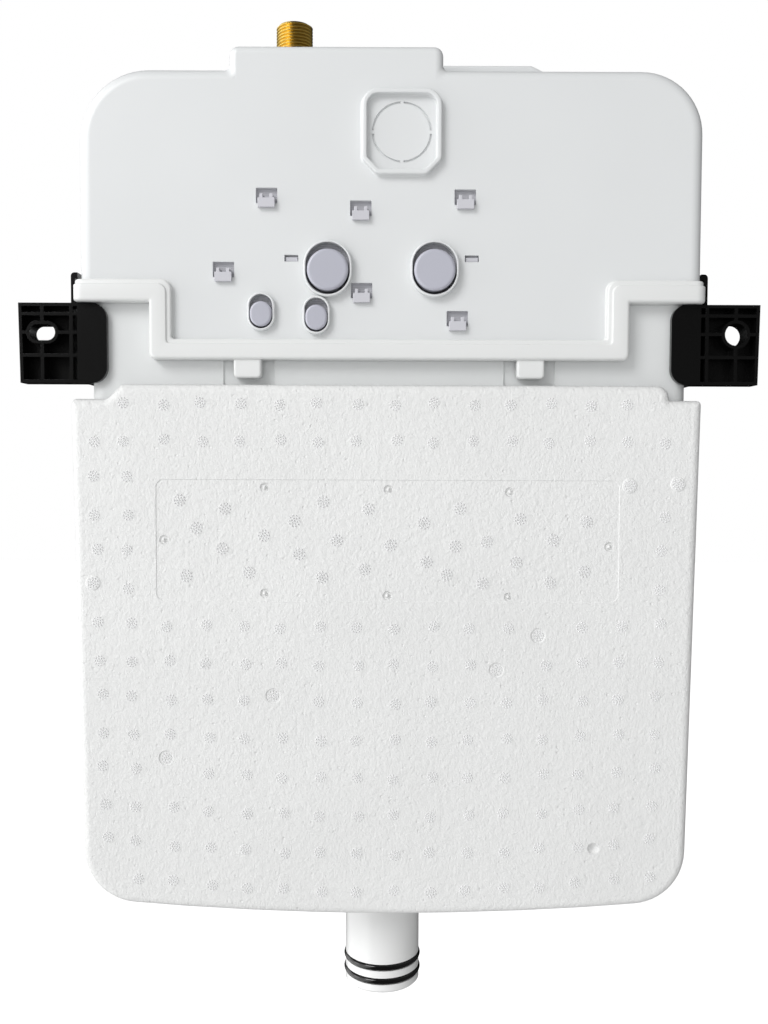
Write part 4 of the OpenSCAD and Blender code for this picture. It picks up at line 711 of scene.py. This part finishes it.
# Foam shell: rigid tray of moulded bead foam round the tank's front, sides and floor, slotted behind for the outlet.
# Its face shows the mould's core vents, a faint inset panel line and a few plugs and dimples.
foam_x, foam_front, foam_back, foam_inner, foam_floor = -1.5, 100.0, 30.0, 86.4, -307.4
foam_step, foam_top, foam_edge_r, foam_inset = -36.5, -28.5, 4.6, 4.8
wide_half, shoulder_half, corner_half, corner_low = 164.4, 170.3, 165.05, -311.6
cavity_half, cavity_step = 157.4, -50.4
foam_low, foam_hang, hang_half = -319.5, 5.5, 135.0
throat_x, throat_r, throat_f = -2.7, 40.0, 45.0
throat_turn = np.linspace(0, math.pi, 25)
throat_across = throat_x - throat_r * np.cos(throat_turn)
throat_deep = throat_f + throat_r * np.sin(throat_turn)


def underside(x):
    """Height of the foam's lower edge: lowest in the middle, and rising to each side as the square of the distance."""
    return foam_low + foam_hang * ((np.asarray(x) - foam_x) / hang_half) ** 2


def foam_walls(inset):
    """The tray's outline in four runs, in turn to the left: right side, top, left side and the edge over the throat."""
    rim_end = wide_half - 1.2 * inset
    right_under = np.array([throat_across[-1], foam_x + 75, foam_x + 110])
    left_under = np.array([foam_x - 110, foam_x - 75, throat_across[0]])
    right = [
        *zip(right_under, underside(right_under)),
        (foam_x + corner_half, corner_low),
        (foam_x + shoulder_half, foam_step),
        (rim_end, foam_step),
    ]
    top = [
        (rim_end, foam_step),
        (151.4, foam_step),
        (151.2, foam_top),
        (-144.4, foam_top),
        (-152.4, foam_step),
        (-rim_end, foam_step),
    ]
    left = [
        (-rim_end, foam_step),
        (foam_x - shoulder_half, foam_step),
        (foam_x - corner_half, corner_low),
        *zip(left_under, underside(left_under)),
    ]
    runs = [
        soft_outline(right, [0, 80, 80, 30, 2.5, 0], inset, 14, True),
        soft_outline(top, [0, 0.8, 6.8, 2, 4, 0], inset, 8, True),
        soft_outline(left, [0, 3, 30, 80, 80, 0], inset, 14, True),
    ]
    over = np.stack([throat_across, underside(throat_across) + inset], 1)
    over[0], over[-1] = runs[2][-1], runs[0][0]
    return runs + [over]


def between(near, far):
    """Surface between two lines of points in the room, with the same number of points in each."""
    return np.concatenate([near, far]), grid_faces(2, len(near), False)


foam_profile = [(foam_inset, foam_front)] + bend(foam_edge_r, foam_front - foam_edge_r, foam_edge_r, 90, 0, 8)
foam_rings = [foam_walls(inset) for inset, _ in foam_profile]
foam_edge = foam_walls(0.0)
foam_parts = []
for run, stop in zip(range(4), (foam_back, foam_inner, foam_back, throat_deep)):
    last = in_room(foam_edge[run], 0)
    last[:, 1] = -np.asarray(stop)
    rows = [in_room(ring[run], f) for ring, (_, f) in zip(foam_rings, foam_profile)] + [last]
    foam_parts.append((np.concatenate(rows), grid_faces(len(rows), len(last), False)))
cavity_side = [(cavity_half, foam_floor), (cavity_half, cavity_step), (wide_half, cavity_step), (wide_half, foam_step)]
cavity_right = [(throat_across[-1], foam_floor)] + cavity_side
cavity_left = [(-x, z) for x, z in cavity_side[::-1]] + [(throat_across[0], foam_floor)]
cavity_radii = [0, 24.4, 0.5, 2, 0]
cavity = [
    soft_outline(cavity_right, cavity_radii, 0, 8, True),
    soft_outline(cavity_left, cavity_radii[::-1], 0, 8, True),
    np.stack([throat_across, np.full(len(throat_across), foam_floor)], 1),
]
for line, stop in zip(cavity, (foam_back, foam_back, throat_deep)):
    rear = in_room(line, 0)
    rear[:, 1] = -np.asarray(stop)
    foam_parts.append(between(rear, in_room(line, foam_inner)))
foam_parts.append(fill([np.concatenate([foam_edge[0], cavity[0][::-1][1:]])], foam_back, False))
foam_parts.append(fill([np.concatenate([foam_edge[2], cavity[1][::-1][:-1]])], foam_back, False))
inner_face = np.concatenate([foam_edge[1], cavity[1][1:], cavity[2][1:], cavity[0][1:-1]])
foam_parts.append(fill([inner_face], foam_inner, False))
throat_plan = np.stack(
    [
        np.concatenate([throat_across[:1], throat_across, throat_across[-1:]]),
        -np.concatenate([[foam_back], throat_deep, [foam_back]]),
    ],
    1,
)
foam_parts.append(
    between(
        np.column_stack([throat_plan, underside(throat_plan[:, 0])]),
        np.column_stack([throat_plan, np.full(len(throat_plan), foam_floor)]),
    )
)

panel_x, panel_z, panel_inset, panel_face = -0.5, -112.8, 0.45, foam_front - 0.35
panel, panel_radii = box_corners(panel_x, panel_z, 250.6, 66.2), [4.5] * 4
panel_wall = [
    (panel_inset, panel_face),
    (0.3, panel_face + 0.02),
    (0.1, panel_face + 0.12),
    (0.02, panel_face + 0.3),
    (0, foam_front),
]
foam_parts.append(carry(panel, panel_radii, panel_wall, 8))
dimple_r, dimple_deep, stud_deep = 2.7, 2.6, 1.2
dimple_inset = np.linspace(dimple_r - 0.2, 0, 11)
dimple_sink = dimple_deep * (1 - (1 - dimple_inset / dimple_r) ** 2)
stud_sink = stud_deep * np.sin(1.5 * math.pi * dimple_inset / dimple_r)
panel_holes, face_holes = [], [soft_outline(panel, panel_radii, 0, 8)]
for x, z, size, level, holes in (
    (-67, -84, 1.0, panel_face, panel_holes),
    (0, -85, 1.0, panel_face, panel_holes),
    (65.5, -86, 1.0, panel_face, panel_holes),
    (-121.5, -112.5, 1.0, panel_face, panel_holes),
    (119.5, -115.5, 1.0, panel_face, panel_holes),
    (-67, -141.5, 1.0, panel_face, panel_holes),
    (-0.5, -142.5, 1.0, panel_face, panel_holes),
    (65, -143, 0.9, panel_face, panel_holes),
    (113, -281.5, 1.25, foam_front, face_holes),
):
    r = dimple_r * size
    sink = stud_sink if level == panel_face else dimple_sink
    mark, rims = box_corners(x, z, 2 * r, 2 * r), round_ends(2 * r)
    profile = np.stack([dimple_inset * size, level - sink], 1)
    foam_parts.append(carry(mark, rims, profile, 5))
    foam_parts.append(fill([soft_outline(mark, rims, profile[0, 0], 5)], profile[0, 1]))
    holes.append(soft_outline(mark, rims, 0, 5))
foam_parts.append(fill([soft_outline(panel, panel_radii, panel_inset, 8)] + panel_holes, panel_face))
sunk_plugs = np.array([(81.5, -164), (59, -183), (-62.5, -197.5), (-121, -232)])
proud_plugs = np.array([(130, -82.5), (156, -81.5), (-160, -136)])
plug_d, sunk_face, proud_face = 8.4, 99.35, 100.4
sunk_profile = [(0.8, sunk_face), (0.4, 99.4), (0.15, 99.6), (0.05, 99.9), (0, foam_front)]
proud_profile = [(1.2, proud_face), (0.8, 100.45), (0.4, 100.35), (0.15, 100.15), (0, 99.9)]
for places, profile, level in ((sunk_plugs, sunk_profile, sunk_face), (proud_plugs, proud_profile, proud_face)):
    for x, z in places:
        mark, rims = box_corners(x, z, plug_d, plug_d), round_ends(plug_d)
        foam_parts.append(carry(mark, rims, profile, 6))
        foam_parts.append(fill([soft_outline(mark, rims, profile[0][0], 6)], level))
        if level < foam_front:
            face_holes.append(soft_outline(mark, rims, 0, 6))
foam_parts.append(fill([np.concatenate([run[:-1] for run in foam_walls(foam_inset)])] + face_holes, foam_front))


def bead_foam(name, colour):
    """Bead foam on object coordinates: cells of about 3 mm pressed together, a fine drawn grain and pits in two
    cells of five shape the surface; the pits are painted a touch darker as shade and the colour drifts slowly."""
    paint = bpy.data.materials.new(name)
    paint.use_nodes = True
    nodes, links = paint.node_tree.nodes, paint.node_tree.links
    shader = nodes["Principled BSDF"]
    shader.inputs["Roughness"].default_value = 0.6
    shader.inputs["Specular IOR Level"].default_value = 0.4
    place = nodes.new("ShaderNodeTexCoord")
    drawn = nodes.new("ShaderNodeMapping")
    drawn.inputs["Scale"].default_value = (1.0, 1.0, 0.8)
    grain = nodes.new("ShaderNodeTexNoise")
    grain.inputs["Scale"].default_value = 760.0
    grain.inputs["Detail"].default_value = 4.0
    grain.inputs["Roughness"].default_value = 0.65
    beads = nodes.new("ShaderNodeTexVoronoi")
    beads.feature = "SMOOTH_F1"
    beads.inputs["Scale"].default_value = 320.0
    pits = nodes.new("ShaderNodeTexVoronoi")
    pits.inputs["Scale"].default_value = 260.0
    pit = nodes.new("ShaderNodeMapRange")
    pit.inputs["From Min"].default_value = 0.06
    pit.inputs["From Max"].default_value = 0.24
    chance = nodes.new("ShaderNodeSeparateColor")
    whole = nodes.new("ShaderNodeMath")
    whole.operation = "GREATER_THAN"
    whole.inputs[1].default_value = 0.4
    spared = nodes.new("ShaderNodeMath")
    spared.operation = "MAXIMUM"
    drift = nodes.new("ShaderNodeTexNoise")
    drift.inputs["Scale"].default_value = 14.0
    drift.inputs["Detail"].default_value = 4.0
    tone = nodes.new("ShaderNodeValToRGB")
    tone.color_ramp.elements[0].position = 0.3
    tone.color_ramp.elements[0].color = (*(0.965 * c for c in colour), 1)
    tone.color_ramp.elements[1].position = 0.7
    tone.color_ramp.elements[1].color = (*colour, 1)
    pitted = nodes.new("ShaderNodeMix")
    pitted.data_type = "RGBA"
    pitted.inputs["A"].default_value = (*(0.98 * c for c in colour), 1)
    high = nodes.new("ShaderNodeMath")
    high.operation = "MULTIPLY_ADD"
    high.inputs[1].default_value = -0.5
    sum_up = nodes.new("ShaderNodeMath")
    sum_up.operation = "MULTIPLY_ADD"
    sum_up.inputs[1].default_value = 0.4
    relief = nodes.new("ShaderNodeBump")
    relief.inputs["Strength"].default_value = 1.0
    relief.inputs["Distance"].default_value = 0.00066
    links.new(place.outputs["Object"], drawn.inputs["Vector"])
    links.new(drawn.outputs["Vector"], grain.inputs["Vector"])
    for texture in (beads, pits, drift):
        links.new(place.outputs["Object"], texture.inputs["Vector"])
    links.new(pits.outputs["Distance"], pit.inputs["Value"])
    links.new(pits.outputs["Color"], chance.inputs["Color"])
    links.new(chance.outputs["Red"], whole.inputs[0])
    links.new(pit.outputs["Result"], spared.inputs[0])
    links.new(whole.outputs["Value"], spared.inputs[1])
    links.new(drift.outputs["Fac"], tone.inputs["Fac"])
    links.new(spared.outputs["Value"], pitted.inputs["Factor"])
    links.new(tone.outputs["Color"], pitted.inputs["B"])
    links.new(pitted.outputs["Result"], shader.inputs["Base Color"])
    links.new(beads.outputs["Distance"], high.inputs[0])
    links.new(grain.outputs["Fac"], high.inputs[2])
    links.new(spared.outputs["Value"], sum_up.inputs[0])
    links.new(high.outputs["Value"], sum_up.inputs[2])
    links.new(sum_up.outputs["Value"], relief.inputs["Height"])
    links.new(relief.outputs["Normal"], shader.inputs["Normal"])
    return paint


foam_white = bead_foam("bead_foam", (0.83, 0.835, 0.83))
# Painted shade: the foam darkens from 1.6 mm behind its face and is a fifth darker past 3.2 mm, on its rounded edges,
# its sides and the floor of the deep dimple.
shade_by_depth(foam_white, 98.4, 96.8, 0.8)
foam = make_piece("foam_tray", foam_parts, "cistern", foam_white)
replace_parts(foam, "foam_shell")

# Core vents: the mould's slotted steam vents leave groups of small nubs all over the foam's face, in rows outside
# the panel line and scattered inside it. They are part of the foam; the panel's nubs are painted a little darker
# than the foam as shade, the others a little lighter as painted highlight.
column_pitch, row_pitch, first_row, last_row, vent_sway, row_sag = 20.9, 19.85, -39, 13, 0.8, 9
vent_across = np.concatenate([[-160], 3.5 + column_pitch * np.arange(-7, 7), [150]])
vent_column, vent_row = np.meshgrid(vent_across, np.arange(last_row + 1.0))
vent_x = vent_column * (1 - 0.0032 * vent_row) + vent_sway * np.sin(5.3 * vent_column + 1.7 * vent_row)
vent_sag = row_sag * (vent_row / last_row) ** 2 * (1 - ((vent_column + 5) / 150) ** 2)
vent_z = first_row - row_pitch * vent_row - vent_sag + vent_sway * np.sin(2.9 * vent_column - 3.1 * vent_row)
in_panel = (np.abs(vent_x - panel_x) < 130) & (np.abs(vent_z - panel_z) < 38)
at_shoulder = (np.abs(vent_x) > 146) & (vent_z > -44)
bend_x, bend_z, bend_r = 133, -283, 22
past_bend = np.hypot(np.abs(vent_x - foam_x) - bend_x, vent_z - bend_z) > bend_r
at_corner = past_bend & (vent_z < bend_z) & (np.abs(vent_x) > bend_x)
vents = np.stack([vent_x, vent_z], -1)[~(in_panel | at_shoulder | at_corner)]
plugs = np.concatenate([sunk_plugs, proud_plugs])
vents = vents[np.hypot(*(vents[:, None] - plugs[None]).transpose(2, 0, 1)).min(1) > 9]
panel_vents = np.array([
    (-113, -91), (-88.5, -95.5), (-35.5, -91.5), (-11, -95.5), (38.5, -95), (-104, -106), (-51, -102),
    (19, -103), (71, -100.5), (107, -102), (-90, -117), (-67.5, -110), (-28, -112.5), (1, -115),
    (36, -115.5), (53, -113), (89, -112), (-109.5, -132), (-75.5, -130), (-48.5, -120), (-36, -132.5),
    (-13, -128), (20.5, -124), (31.5, -131), (69, -124), (51, -135.5), (87.5, -135), (106, -129),
])


def nub_groups(places, level, size, thick, rise):
    """Groups of 17 four-sided nubs about each place: one in the middle, a ring of 6 and a ring of 10, each group
    turned by its own angle. Nubs are thick wide and stand out of level by rise."""
    inner_r, outer_r, group_turn = 1.45, 2.75, 2.399
    ring = np.concatenate([[0], np.full(6, inner_r), np.full(10, outer_r)]) * size
    turn = np.concatenate([[0], np.arange(6) * math.pi / 3, np.arange(10) * math.pi / 5])
    spin = group_turn * np.arange(len(places))[:, None] + turn
    nub = places[:, None] + np.stack([ring * np.cos(spin), ring * np.sin(spin)], -1)
    quarter = np.arange(4) * math.pi / 2 + 0.4
    base = nub[:, :, None] + thick / 2 * np.stack([np.cos(quarter), np.sin(quarter)], -1)
    flat = np.concatenate([base, nub[:, :, None]], 2)
    depth = np.broadcast_to(-level - np.array([-0.1] * 4 + [rise]), flat.shape[:3])
    points = np.stack([flat[..., 0], depth, flat[..., 1]], -1).reshape(-1, 3)
    corner = np.stack([np.arange(4), (np.arange(4) + 1) % 4, np.full(4, 4)], 1)
    return points, (5 * np.arange(len(places) * len(ring))[:, None, None] + corner).reshape(-1, 3)


wide_nubs, fine_nubs = (1.05, 1.3, 1.0), (0.95, 1.2, 0.85)
# tone: panel nubs a little darker than the foam as painted shade, the other nubs a little lighter as painted highlight
for name, tone, groups in (
    ("panel_vents", 0.8, [nub_groups(panel_vents, panel_face, *wide_nubs)]),
    ("field_vents", 0.85, [nub_groups(vents, foam_front, *fine_nubs)]),
    (
        "plug_vents",
        0.85,
        [nub_groups(sunk_plugs, sunk_face, *fine_nubs), nub_groups(proud_plugs, proud_face, *fine_nubs)],
    ),
):
    vent_painted_tone = bead_foam(name + "_foam", (tone, tone, 1.01 * tone))
    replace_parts(make_piece(name, groups, "cistern", vent_painted_tone), "foam_shell")

# Flush pipe: white spigot pushed into the valve base, with two black O-rings in grooves near its end.
# The CAD solids: the pipe in gloss white plastic, the rings in rubber.
pipe_white = moulded_plastic("pipe_white_plastic", (0.92, 0.925, 0.92), (0.9, 0.905, 0.9), 0.3, 0.7, 0.01)
paint_nodes(pipe_white, "flush_pipe")
ring_rubber = moulded_plastic("ring_rubber", (0.004, 0.004, 0.004), (0.006, 0.006, 0.006), 0.12, 0.4, 0.003)
paint_nodes(ring_rubber, "pipe_o_rings")
